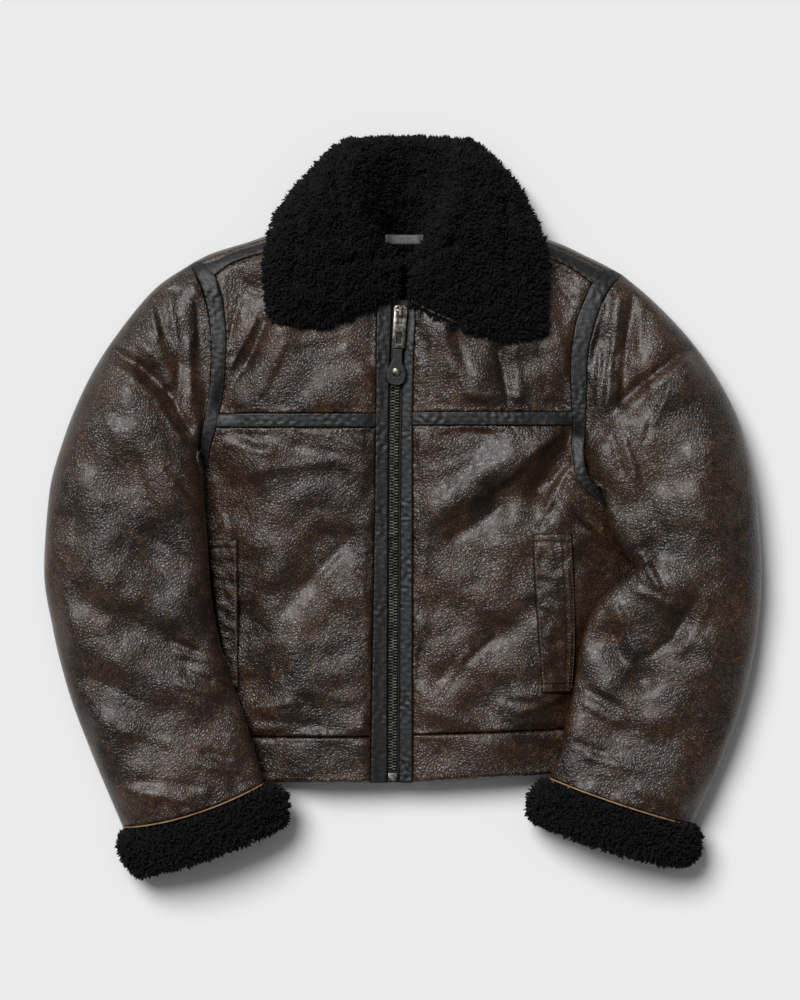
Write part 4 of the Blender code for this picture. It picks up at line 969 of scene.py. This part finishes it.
def back_grid():
    """Points of the back's outer face, from over the shoulder fold down to the hem seam."""
    left, right = LEFT.band_plan()[0][0], RIGHT.band_plan()[0][0]
    neck = np.linspace(left[0], right[0], 7)[1:-1]
    columns = np.concatenate([left[::-1], neck, right])
    share = ((columns - columns[0]) / (columns[-1] - columns[0]))[None, :]
    ends = [np.array([(r[0], r[1]) for r in half.arm] + list(half.side)) for half in (LEFT, RIGHT)]
    x = ends[0][:, :1] + (ends[1][:, :1] - ends[0][:, :1]) * share
    y = ends[0][:, 1:] + (ends[1][:, 1:] - ends[0][:, 1:]) * share
    down = [(e[:9, 1:] - e[0, 1]) / (e[8, 1] - e[0, 1]) for e in ends]
    down = down[0] + (down[1] - down[0]) * share
    edge = smooth(SHOULDER, 1, x[:1])
    y[:9] = edge + down * (y[8:9] - edge)
    lower = mm(x, y, back_height(x, y))
    beside = np.maximum(ease((345 - x[0]) / 13), ease((x[0] - 453) / 13))
    upper = []
    for part in (1.0, 0.45, 0.12):
        lo, hi = x[0, 0] + (left[-1] - x[0, 0]) * part, x[0, -1] + (right[-1] - x[0, -1]) * part
        px = lo + (hi - lo) * share[0]
        rim = smooth(SHOULDER, 1, px)
        line = np.where(px < 403, smooth(BAND_LEFT, 1, px), smooth(BAND_RIGHT, 1, px))
        py = rim + (line - rim) * part - (GAP / STEP if part == 1 else 0)
        upper.append(mm(px, beside * py + (1 - beside) * (y[0] - 6 * part), beside * front_height(px, py)))
    return np.concatenate([np.array(upper), lower])


def placed(grid):
    """Place function through a coarse grid of points in mm."""
    weave = Weave(grid)
    return weave.at


def add_back(leather, lining):
    laid("leather_back", placed(back_grid()), 8, 3.2, [leather, lining], "back_panel", -1.0)
    rows = [half.hem_rows() for half in (LEFT, RIGHT)]
    share = np.linspace(0, 1, 12)[None, :]
    x = rows[0][:, :1] + (rows[1][:, :1] - rows[0][:, :1]) * share
    y = rows[0][:, 1:2] + (rows[1][:, 1:2] - rows[0][:, 1:2]) * share
    laid(
        "leather_hem_back", placed(mm(x, y, back_height(x, y))), 8, 3.2, [leather, lining], "hem_back", -1.0
    )


def add_half_front(half, leather, binding, lining, tape):
    word = half.word
    looks = [leather, lining]
    laid("leather_yoke_" + word, cut_piece(*half.yoke_plan()), 2.2, 3.0, looks, "yoke_" + word)
    front = cut_piece(*half.rows_plan(half.front_rows()))
    laid("leather_front_" + word, front, 2.2, 3.0, looks, "front_" + word)
    hem = cut_piece(*half.rows_plan(half.hem_rows()), proud=0.6, roll=1.8, relief=0.6)
    laid("leather_hem_" + word, hem, 2.2, 3.0, looks, "hem_front_" + word)
    seam = np.array([(half.arm[i, 2], half.arm[i, 3], half.arm[i, 3]) for i in (8, 9)])
    arm = np.concatenate([half.arm, 2.3 * half.arm[-1:] - 1.3 * half.arm[-2:-1]])
    bands = {
        "yoke_binding_": half.rows_plan(seam), "shoulder_binding_": half.band_plan(),
        "armhole_binding_": (arm[:, [0, 2]], arm[:, [1, 3]]),
    }
    for name, (x, y) in bands.items():
        laid(name + "tape_" + word, tape_piece(x, y, BINDING), 1.4, 1.4, [binding], name + word)
    stops = half.zip_stops()[:, None]
    x = np.concatenate([smooth(half.edge, 1, stops), smooth(half.edge, 2, stops)], axis=1)
    edging = tape_piece(x, stops + 0 * x, PLACKET + 0.3, 1.6)
    laid("placket_edging_" + word, edging, 1.4, 1.8, [binding], "placket_" + word)
    x = np.concatenate([smooth(half.edge, 2, stops), smooth(ZIP_LINE, 1, stops)], axis=1)
    weave = Weave(np.stack(seamed(x, stops + 0 * x), axis=-1), STEP)

    def tape_place(u, v):
        at = weave.at(u, v)
        return mm(at[..., 0], at[..., 1], front_height(at[..., 0], at[..., 1]) - 1.6)

    laid("zip_tape_woven_" + word, tape_place, 1.6, 1.2, [tape], "zip_tape_" + word, sheet=False)


def welt_place(half):
    """A pocket's welt: a raised frame of leather with seams near its ends and a mouth along its side."""
    first, last = (8, 12) if half is LEFT else (7, 12)
    columns = ACROSS[5:8] if half is LEFT else ACROSS[5:7]
    x, y = half.rows_plan(half.front_rows()[first : last + 1], columns)
    if half is RIGHT:
        x[:, -1] = smooth(WELT_EDGE, 1, y[:, -1])
    weave = Weave(np.stack([x, y], axis=-1), STEP)

    def place(u, v):
        at = weave.at(u, v)
        px, py = at[..., 0], at[..., 1]
        near = weave.inset(u, v)
        z = front_height(px, py) + 4.9 - 4.0 * (1 - round_in(near, 2.8))
        end = np.minimum(v, 1 - v) * weave.long
        z = z - 1.7 * np.exp(-((end - 10) / 1.1) ** 2)
        if half is RIGHT:
            out = (1 - u) * weave.wide
            z = z - 1.5 * np.exp(-((out - 9.5) / 0.8) ** 2) * ease((end - 8) / 3)
        return mm(px, py, z + (0.7 * crumple(px, py, 14, 21) + 0.5 * crumple(px, py, 40, 22)) * ease(near / 6))

    place.weave = weave
    return place


def sleeve_place(half, upper, creases):
    """Place function of one side of a sleeve: across its turn, and along it from armhole to cuff."""

    def place(u, v):
        start = 0.0004 + (0.0175 if upper else 0.055) * ease((u - 0.66) / 0.2)
        at = start + (0.9994 - start) * v
        turn = u if upper else u * (1 - 0.3 * (1 - ease(at / 0.18)))
        p = sleeve_point(half, turn, at, upper)
        if not upper:
            return p
        x, y = p[..., 0] / STEP + MIDDLE[0], MIDDLE[1] - p[..., 1] / STEP
        swing = ease(1.6 * np.sin(np.pi * u))
        from_arm, from_cuff = v * 590, (1 - v) * 590
        lift = leather_relief(x, y, creases) * ease(from_arm / 12)
        lift = lift + 0.9 * np.exp(-from_arm / 9) * crumple(x, y, 11, 31)
        lift = lift + 0.8 * np.exp(-from_cuff / 12) * crumple(x, y, 15, 32)
        lift = lift - 1.2 * (1 - round_in(from_arm, 4))
        p[..., 2] += lift * swing
        return p

    return place


def edge_place(half, upper):
    """The raw edge of the sleeve's leather, where it ends over the cuff."""
    sleeve = sleeve_place(half, upper, LEFT_CREASES if half is LEFT else RIGHT_CREASES)

    def place(u, v):
        end, before = sleeve(u, v * 0 + 1.0), sleeve(u, v * 0 + 0.985)
        return end + unit(end - before) * (1.5 * v[..., None] - 0.1)

    return place


def add_half_sleeve(half, leather, lining, raw):
    creases = LEFT_CREASES if half is LEFT else RIGHT_CREASES
    for word, upper in (("top", True), ("under", False)):
        facing = 1.0 if upper else -1.0
        name = f"{word}_{half.word}"
        place = sleeve_place(half, upper, creases)
        step = 2.6 if upper else 6.0
        laid("leather_sleeve_" + name, place, step, 3.0, [leather, lining], "sleeve_" + name, facing)
        laid("raw_edge_" + name, edge_place(half, upper), 1.5, 2.0, [raw], None, facing, sheet=False)


def scatter(surface, count, seed):
    """Evenly scattered shares on surface(a, b), with their points and unit normals."""
    dice = np.random.default_rng(seed)
    a, b = dice.random((2, count * 6))
    e = 2e-4
    across = surface(np.clip(a + e, 0, 1), b) - surface(np.clip(a - e, 0, 1), b)
    along = surface(a, np.clip(b + e, 0, 1)) - surface(a, np.clip(b - e, 0, 1))
    normal = np.cross(across, along)
    size = np.linalg.norm(normal, axis=-1)
    kept = np.flatnonzero(dice.random(len(a)) < size / np.quantile(size, 0.98))[:count]
    a, b, normal = a[kept], b[kept], normal[kept] / np.maximum(size[kept, None], 1e-12)
    return a, b, surface(a, b), normal, unit(across[kept] + 1e-12)


WOOL_DEEP = 7.0  # from the wool's reach down to the hide


def collar_stretch(first, last):
    """The collar's woolly reach between two places along it, with its dents."""

    def surface(u, v):
        p = collar_point(u, first + (last - first) * v)
        x, y = p[..., 0] / STEP + MIDDLE[0], MIDDLE[1] - p[..., 1] / STEP
        p[..., 2] += (1.7 * folds(COLLAR_DENTS, x, y) + 1.8 * crumple(x, y, 34, 41)) * ease((1 - u) / 0.2)
        return p

    return surface


def add_collar_piece(word, first, last, count, seed, wool, leather):
    surface = collar_stretch(first, last)

    def hide(u, v):
        p, n = surface(u, v), path_normals(surface, u, v)
        up = 1.0 if n[..., 2].mean() > 0 else -1.0
        p = p - n * up * WOOL_DEEP
        p[..., 2] = np.maximum(p[..., 2], 0.2)
        return p

    base = laid("hide_collar_" + word, hide, 5, 1.8, [wool, leather], "collar_" + word)
    length = bpy.context.scene.jacket_sizes.wool_length
    u, v, roots, normal, outward = scatter(surface, count, seed)
    normal = normal * (1 if normal[:, 2].mean() > 0 else -1)
    x, y = roots[:, 0] / STEP, roots[:, 1] / STEP
    tuft = crumple(x, y, 11, seed + 1)
    comb = np.stack([crumple(x, y, 22, seed + 2), crumple(x, y, 22, seed + 3), 0 * x], axis=-1)
    lean = 0.55 * comb + outward * (1.3 * ease((u - 0.9) / 0.1) + 0.15)[:, None]
    tall = length * (1 + 0.26 * tuft)
    piece = wool_locks(
        "wool_collar_" + word, roots - normal * WOOL_DEEP, normal, lean, tall, 1.25, seed + 4, wool
    )
    finish_piece(piece, None)
    return base


def cuff_skin(half):
    """The cuff's rolled hide: a around its opening, b round its wall from the outer face inwards."""

    def surface(a, b):
        angle = 2 * np.pi * b
        c, s = np.cos(angle), np.sin(angle)
        w = 0.47 + 0.4 * np.sign(s) * np.abs(s) ** 0.6
        deep = 9.0 - 3.6 * np.sign(c) * np.abs(c) ** 0.6
        return cuff_ring(half, w, a, deep)

    return surface


def add_half_cuff(half, count, seed, wool):
    surface = cuff_skin(half)
    bpy.ops.object.select_all(action="DESELECT")
    bpy.ops.mesh.primitive_torus_add(
        major_segments=90, minor_segments=20, major_radius=2.0, minor_radius=1.0
    )
    item = bpy.context.object
    item.name = item.data.name = "hide_cuff_" + half.word
    co = vertices_of(item)
    out = np.hypot(co[:, 0], co[:, 1]) - 2.0
    a = np.arctan2(co[:, 1], co[:, 0]) / (2 * np.pi) % 1.0
    b = np.arctan2(co[:, 2], out) / (2 * np.pi) % 1.0
    item.data.vertices.foreach_set("co", (surface(a, b) / 1000).ravel())
    bpy.ops.object.mode_set(mode="EDIT")
    bpy.ops.mesh.select_all(action="SELECT")
    bpy.ops.mesh.normals_make_consistent(inside=False)
    bpy.ops.object.mode_set(mode="OBJECT")
    item.data.materials.append(wool)
    bpy.ops.object.shade_smooth()
    finish_piece(item, "cuff_" + half.word)
    length = bpy.context.scene.jacket_sizes.wool_length
    a, b, roots, normal, _ = scatter(surface, count, seed)
    inwards = surface(a, b * 0 + 0.5) - surface(a, b * 0.0)
    outer = (normal * inwards).sum(-1) * np.where(np.cos(2 * np.pi * b) > 0, 1, -1)
    sign = -1 if outer.mean() > 0 else 1
    normal = normal * sign
    along = unit(cuff_ring(half, 0.9 + 0 * a, a, 6.0) - cuff_ring(half, 0.3 + 0 * a, a, 6.0))
    end = np.sin(2 * np.pi * b)
    x, y = roots[:, 0] / STEP, roots[:, 1] / STEP
    comb = np.stack([crumple(x, y, 20, seed + 2), crumple(x, y, 20, seed + 3), 0 * x], axis=-1)
    lean = 0.6 * comb + along * (0.7 * end * np.abs(end))[:, None]
    tall = length * 0.95 * (1 + 0.2 * crumple(x, y, 10, seed + 1))
    finish_piece(wool_locks("wool_cuff_" + half.word, roots, normal, lean, tall, 1.25, seed + 4, wool), None)


def add_neck(wool, lining, strap):
    def floor(u, v):
        return mm(366 + 74 * u, 300 - 57 * v, 9.0 - 1.5 * u * 0)

    laid("hide_neck", floor, 6, 3.5, [wool], "neck_lining")
    u, v, roots, normal, _ = scatter(floor, 2600, 71)
    normal = np.abs(normal)
    finish_piece(wool_locks("wool_neck", roots, normal, 0 * normal, 7.0, 1.3, 72, wool), None)

    def loop(u, v):
        across = 2 * u - 1
        z = 42.0 + 5.0 * across**4 + 0.5 * round_in(np.minimum(v, 1 - v) * 10.5, 2)
        return mm(404.5 + 18 * across, 244.4 - 9.8 * v, z)

    laid("hanger_strap", loop, 1.2, 2.2, [strap], "hanger_loop", sheet=False)


PULL_AT = (400.6, 311.5)  # grid place of the pull's hinge
CHAIN_TOP = 2.4  # over the body's own surface
TOOTH_PITCH = 3.08  # mm from tooth to tooth on one side
# the leather tab: mm down from the hinge, half width; its upper end passes behind the pull's frame
TAB = (
    (21.5, 3.5), (38.9, 3.5), (39.8, 5.4), (45, 5.2), (52, 5.6), (57, 7.4), (62, 9.7), (67, 10.7), (71, 10.2), (75, 8.3),
    (77.5, 5.2), (78.5, 0.6),
)
RIVET = 64.0  # mm down from the hinge
PULL_SLANT = np.radians(-3.6)  # the hanging pull's turn to one side
SLIDER_HIGH = 4.6
HINGE_OVER = 2.0  # from the slider's top up to the hinge of the pull
PULL_TILT = np.radians(2.2)


def pull_z():
    """Height of the pull's hinge."""
    return float(front_height(np.array(PULL_AT[0]), np.array(330.0))) + CHAIN_TOP + 0.6 + SLIDER_HIGH + HINGE_OVER


def add_teeth(nickel):
    bpy.ops.object.select_all(action="DESELECT")
    bpy.ops.mesh.primitive_cube_add(size=1)
    model = bpy.context.object
    bpy.ops.object.mode_set(mode="EDIT")
    bpy.ops.transform.resize(value=(5.2, 1.75, 3.4), center_override=(0, 0, 0))
    bpy.ops.mesh.bevel(offset=0.5, segments=1)
    bpy.ops.object.mode_set(mode="OBJECT")
    co = vertices_of(model)
    count = int((772.0 - 322.0) * STEP / TOOTH_PITCH)
    row = np.arange(count)[:, None] * TOOTH_PITCH
    both = []
    for sign in (-1, 1):
        y = 322.0 + (row + (0.5 if sign > 0 else 0) * TOOTH_PITCH) / STEP
        x = smooth(ZIP_LINE, 1, y) + sign * 2.0
        centre = mm(x, y, front_height(x, y) + CHAIN_TOP - 1.9)
        both.append(centre + co[None] * (1, 1, 1))
    piece = repeat("zip_teeth", model, np.concatenate(both), nickel)
    bpy.ops.object.shade_flat()
    finish_piece(piece, "zip_chain")


def bevelled_copy(name, node, width, finish, body):
    """A solid's own shape with its doubles merged and its edges rounded."""
    item = bpy.data.objects.new(name, bpy.data.objects[node].data.copy())
    bpy.context.collection.objects.link(item)
    item.data.materials.clear()
    item.data.materials.append(finish)
    only(item)
    bpy.ops.object.mode_set(mode="EDIT")
    bpy.ops.mesh.select_all(action="SELECT")
    bpy.ops.mesh.remove_doubles(threshold=1e-6)
    bpy.ops.mesh.dissolve_limited(angle_limit=0.02)
    bpy.ops.object.mode_set(mode="OBJECT")
    step = item.modifiers.new("round", "BEVEL")
    step.width, step.segments, step.limit_method, step.angle_limit = width / 1000, 3, "ANGLE", 0.6
    bpy.ops.object.modifier_apply(modifier=step.name)
    bpy.ops.object.shade_smooth_by_angle(angle=0.6)
    return finish_piece(item, node, body)


def swung(points, axis_from):
    """Points given about the level pull's hinge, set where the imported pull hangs."""
    c, s = np.cos(PULL_TILT), np.sin(PULL_TILT)
    cz, sz = np.cos(PULL_SLANT), np.sin(PULL_SLANT)
    x, y, z = points[..., 0], points[..., 1], points[..., 2]
    y, z = y * c - z * s, y * s + z * c
    return np.stack([x * cz - y * sz, x * sz + y * cz, z], axis=-1) + axis_from


def add_pull(nickel, binding):
    hinge = np.array([*mm(*PULL_AT, 0.0)[:2], pull_z()])

    def tab(u, v):
        down = 21.5 + 57.0 * v
        half = smooth(TAB, 1, down) * np.sqrt(np.clip(1 - np.clip((down - 74) / 4.7, 0, 1) ** 3, 0, 1))
        x = (2 * u - 1) * half
        edge = np.minimum(half - np.abs(x), 78.6 - down)
        z = 1.6 - 0.8 * (1 - round_in(np.maximum(edge, 0), 1.4)) - 2.9 * (1 - ease((down - 39.0) / 1.2))
        return swung(np.stack([x - 0.4, -down, z], axis=-1), hinge)

    laid("pull_tab_leather", tab, 0.8, 1.9, [binding], "zip_tab", sheet=False, body="puller")
    bpy.ops.object.select_all(action="DESELECT")
    bpy.ops.mesh.primitive_uv_sphere_add(segments=32, ring_count=16, radius=1.0)
    item = bpy.context.object
    item.name = item.data.name = "pull_rivet_dome"
    co = vertices_of(item)
    far = np.hypot(co[:, 0], co[:, 1])
    co = co * (4.6, 4.6, 0) + np.stack([0 * far, 0 * far, np.sign(co[:, 2]) * (0.55 + 1.1 * (1 - far**2.5))], 1)
    co = swung(co + (-0.4, -RIVET, 2.2), hinge)
    item.data.vertices.foreach_set("co", (co / 1000).ravel())
    item.data.materials.append(nickel)
    bpy.ops.object.shade_smooth()
    finish_piece(item, "zip_rivet", "puller")


def binding_lines():
    """Stitching of the black bindings: each tape has a line near both edges."""
    runs = []
    for name, place in PLACES.items():
        if "tape_" in name and "binding" in name or name.startswith("placket"):
            runs += [(place, (0.14, 0.14), (0.01, 0.99)), (place, (0.86, 0.86), (0.01, 0.99))]
    return runs


def leather_lines():
    """Stitching in brown thread: round the welts, along the hem and beside the pockets."""
    runs = []
    for half in (LEFT, RIGHT):
        welt, hem = PLACES["welt_" + half.word], PLACES["leather_hem_" + half.word]
        wide, long = welt.weave.wide, welt.weave.long
        side, end = 3.0 / wide, 4.0 / long
        runs += [(welt, (side, side), (0.01, 0.99)), (welt, (0.02, 0.98), (end, end))]
        runs += [(welt, (0.02, 0.98), (1 - end, 1 - end)), (welt, (0.02, 0.98), (13 / long, 13 / long))]
        runs += [(welt, (0.02, 0.98), (1 - 13 / long, 1 - 13 / long))]
        if half is RIGHT:
            runs += [(welt, (1 - 6.5 / wide,) * 2, (0.01, 0.99)), (welt, (1 - 2.2 / wide,) * 2, (0.01, 0.99))]
        runs += [(hem, (0.02, 0.98), (1 - 5 / hem.weave.long,) * 2), (hem, (0.02, 0.98), (0.07, 0.07))]
    return runs


class JacketSizes(bpy.types.PropertyGroup):
    """Sizes in mm, but for the leather's pebbles, which are in metres."""

    wool_length: bpy.props.FloatProperty(
        name="Wool length", description="Length of a lock of wool in mm", default=9.0, min=3.0, max=16.0
    )
    pebble: bpy.props.FloatProperty(
        name="Pebble", description="Width of one pebble of the leather's grain", default=0.0032,
        subtype="DISTANCE", unit="LENGTH",
    )
    stitch_pitch: bpy.props.FloatProperty(
        name="Stitch pitch", description="From stitch to stitch in mm", default=3.6, min=2.0, max=8.0
    )


def tint(name, code, description):
    """A colour that a user may change."""
    return bpy.props.FloatVectorProperty(
        name=name, description=description, subtype="COLOR", size=3, min=0, max=1, default=linear(code)
    )


class JacketColours(bpy.types.PropertyGroup):
    """Colours of the jacket's skins, wool and tapes."""

    leather: tint("Leather", "#3c2717", "Brown of the sheepskin's coat")
    # near-black of the top coat, also painted into the grain's creases as shade
    leather_dark_and_crease_shade: tint("Dark coat", "#150c07", "Near-black of the top coat and the grain's creases")
    leather_rub: tint("Rubbed leather", "#6c481f", "Rust brown where the coat is rubbed thin")
    binding: tint("Binding", "#0b0c0d", "Black of the glazed bindings")
    wool: tint("Wool", "#060606", "Black at the roots of the wool")
    # paler colour painted on the ends of the curls as highlight
    wool_tip_highlight: tint("Wool tips", "#1d1d1f", "Paler black at the ends of the curls")
    floor: tint("Floor", "#efefef", "The pale surface that the jacket lies on")


class JACKET_OT_back(bpy.types.Operator):
    """Lays the back and its hem under the jacket"""

    bl_idname = "jacket.back"
    bl_label = "Back"

    def execute(self, context):
        add_back(look("leather"), look("lining"))
        return {"FINISHED"}


class JACKET_OT_fronts(bpy.types.Operator):
    """Lays the yokes, fronts, hems, bindings, plackets, zip tapes and pocket welts"""

    bl_idname = "jacket.fronts"
    bl_label = "Fronts"

    def execute(self, context):
        for half in (LEFT, RIGHT):
            add_half_front(half, look("leather"), look("binding"), look("lining"), look("tape"))
            laid(
                "welt_" + half.word, welt_place(half), 1.6, 2.2, [look("leather")], "pocket_welt_" + half.word
            )
        return {"FINISHED"}


class JACKET_OT_sleeves(bpy.types.Operator):
    """Lays both sleeves with the raw edges of their leather"""

    bl_idname = "jacket.sleeves"
    bl_label = "Sleeves"

    def execute(self, context):
        for half in (LEFT, RIGHT):
            add_half_sleeve(half, look("leather"), look("lining"), look("edge"))
        return {"FINISHED"}


class JACKET_OT_collar(bpy.types.Operator):
    """Builds the collar's hide in three pieces and stands the curly wool on it"""

    bl_idname = "jacket.collar"
    bl_label = "Collar"

    def execute(self, context):
        for word, first, last, count, seed in (
            ("left", 0.0, 0.44, 10500, 51), ("back", 0.436, 0.564, 4800, 56), ("right", 0.56, 1.0, 10500, 61),
        ):
            add_collar_piece(word, first, last, count, seed, look("wool"), look("leather"))
        return {"FINISHED"}


class JACKET_OT_cuffs(bpy.types.Operator):
    """Builds the turned-up cuffs and their wool"""

    bl_idname = "jacket.cuffs"
    bl_label = "Cuffs"

    def execute(self, context):
        add_half_cuff(LEFT, 9500, 81, look("wool"))
        add_half_cuff(RIGHT, 9500, 86, look("wool"))
        return {"FINISHED"}


class JACKET_OT_neck(bpy.types.Operator):
    """Lines the neck with wool and hangs the strap across it"""

    bl_idname = "jacket.neck"
    bl_label = "Neck"

    def execute(self, context):
        add_neck(look("wool"), look("lining"), look("strap"))
        return {"FINISHED"}


class JACKET_OT_zip(bpy.types.Operator):
    """Sets the zip's teeth, box, slider and pull"""

    bl_idname = "jacket.zip"
    bl_label = "Zip"

    def execute(self, context):
        nickel = look("nickel")
        add_teeth(nickel)
        bevelled_copy("zip_box_metal", "zip_box", 0.5, nickel, "jacket")
        bevelled_copy("zip_slider_metal", "zip_slider", 0.45, nickel, "jacket")
        bevelled_copy("pull_plate_metal", "zip_pull", 0.4, nickel, "puller")
        add_pull(nickel, look("binding"))
        return {"FINISHED"}


class JACKET_OT_stitching(bpy.types.Operator):
    """Sews the bindings, welts and hems"""

    bl_idname = "jacket.stitching"
    bl_label = "Stitching"

    def execute(self, context):
        pitch = context.scene.jacket_sizes.stitch_pitch
        stitches("stitches_black", binding_lines(), look("black_thread"), pitch)
        stitches("stitches_brown", leather_lines(), look("brown_thread"), pitch)
        return {"FINISHED"}


def wide_light(name, strength, spread_deg, place, aim=(0, 0, 0)):
    """A far light that falls evenly on the whole floor, as wide as the given angle."""
    light = bpy.data.lights.new(name, "SUN")
    light.energy, light.angle = strength, np.radians(spread_deg)
    item = bpy.data.objects.new(name, light)
    bpy.context.collection.objects.link(item)
    item.location = place
    away = np.array(place) - np.array(aim)
    item.rotation_euler = (np.arctan2(np.hypot(away[0], away[1]), away[2]), 0, np.arctan2(away[0], -away[1]))
    return item


class JACKET_OT_stage(bpy.types.Operator):
    """Sets the floor, the soft light and the camera straight over the jacket"""

    bl_idname = "jacket.stage"
    bl_label = "Stage"

    def execute(self, context):
        scene = context.scene
        bpy.ops.object.select_all(action="DESELECT")
        bpy.ops.mesh.primitive_plane_add(size=14, location=(0, 0, 0))
        floor = context.object
        floor.name = "floor"
        item, tree, shader, place = material("matt_paper_backdrop", 0.95)
        noise = add(tree, "TexNoise", None, Vector=place, Scale=3.0, Detail=2.0).outputs["Fac"]
        pale = tuple(context.scene.jacket_colours.floor)
        tree.links.new(
            mixed(tree, noise, (*(0.985 * c for c in pale), 1), (*pale, 1)), shader.inputs["Base Color"]
        )
        floor.data.materials.append(item)
        world = bpy.data.worlds.new("studio")
        world.use_nodes = True
        world.node_tree.nodes["Background"].inputs["Color"].default_value = (1, 1, 1, 1)
        world.node_tree.nodes["Background"].inputs["Strength"].default_value = 0.13
        scene.world = world
        wide_light("window", 2.95, 30, (-1.15, 1.55, 2.8))
        wide_light("ceiling", 0.25, 60, (-0.2, 0.5, 2.0))
        camera = bpy.data.objects.new("camera", bpy.data.cameras.new("camera"))
        context.collection.objects.link(camera)
        above, middle = 6.0, 0.045
        camera.location = mm(400.0, 500.0, 0) / 1000 + np.array([0, 0, above])
        camera.data.lens = 36 * (above - middle) / (1000 * STEP / 1000)
        scene.camera = camera
        scene.view_settings.view_transform = "Standard"
        return {"FINISHED"}


STEPS = ("back", "fronts", "sleeves", "collar", "cuffs", "neck", "zip", "stitching", "stage")


class JACKET_PT_sidebar(bpy.types.Panel):
    """Lists the jacket's steps and its sizes and colours"""

    bl_idname = "JACKET_PT_sidebar"
    bl_label = "Jacket"
    bl_space_type = "VIEW_3D"
    bl_region_type = "UI"
    bl_category = "Jacket"

    def draw(self, context):
        for group in (context.scene.jacket_sizes, context.scene.jacket_colours):
            for name in group.__annotations__:
                self.layout.prop(group, name)
        for step in STEPS:
            self.layout.operator("jacket." + step)


CLASSES = (
    JacketSizes, JacketColours, JACKET_OT_back, JACKET_OT_fronts, JACKET_OT_sleeves, JACKET_OT_collar,
    JACKET_OT_cuffs, JACKET_OT_neck, JACKET_OT_zip, JACKET_OT_stitching, JACKET_OT_stage, JACKET_PT_sidebar,
)


def register():
    for item in CLASSES:
        bpy.utils.register_class(item)
    bpy.types.Scene.jacket_sizes = bpy.props.PointerProperty(type=JacketSizes)
    bpy.types.Scene.jacket_colours = bpy.props.PointerProperty(type=JacketColours)


def unregister():
    del bpy.types.Scene.jacket_sizes, bpy.types.Scene.jacket_colours
    for item in reversed(CLASSES):
        bpy.utils.unregister_class(item)


def main():
    register()
    for step in STEPS:
        getattr(bpy.ops.jacket, step)()


if __name__ == "__main__":
    main()
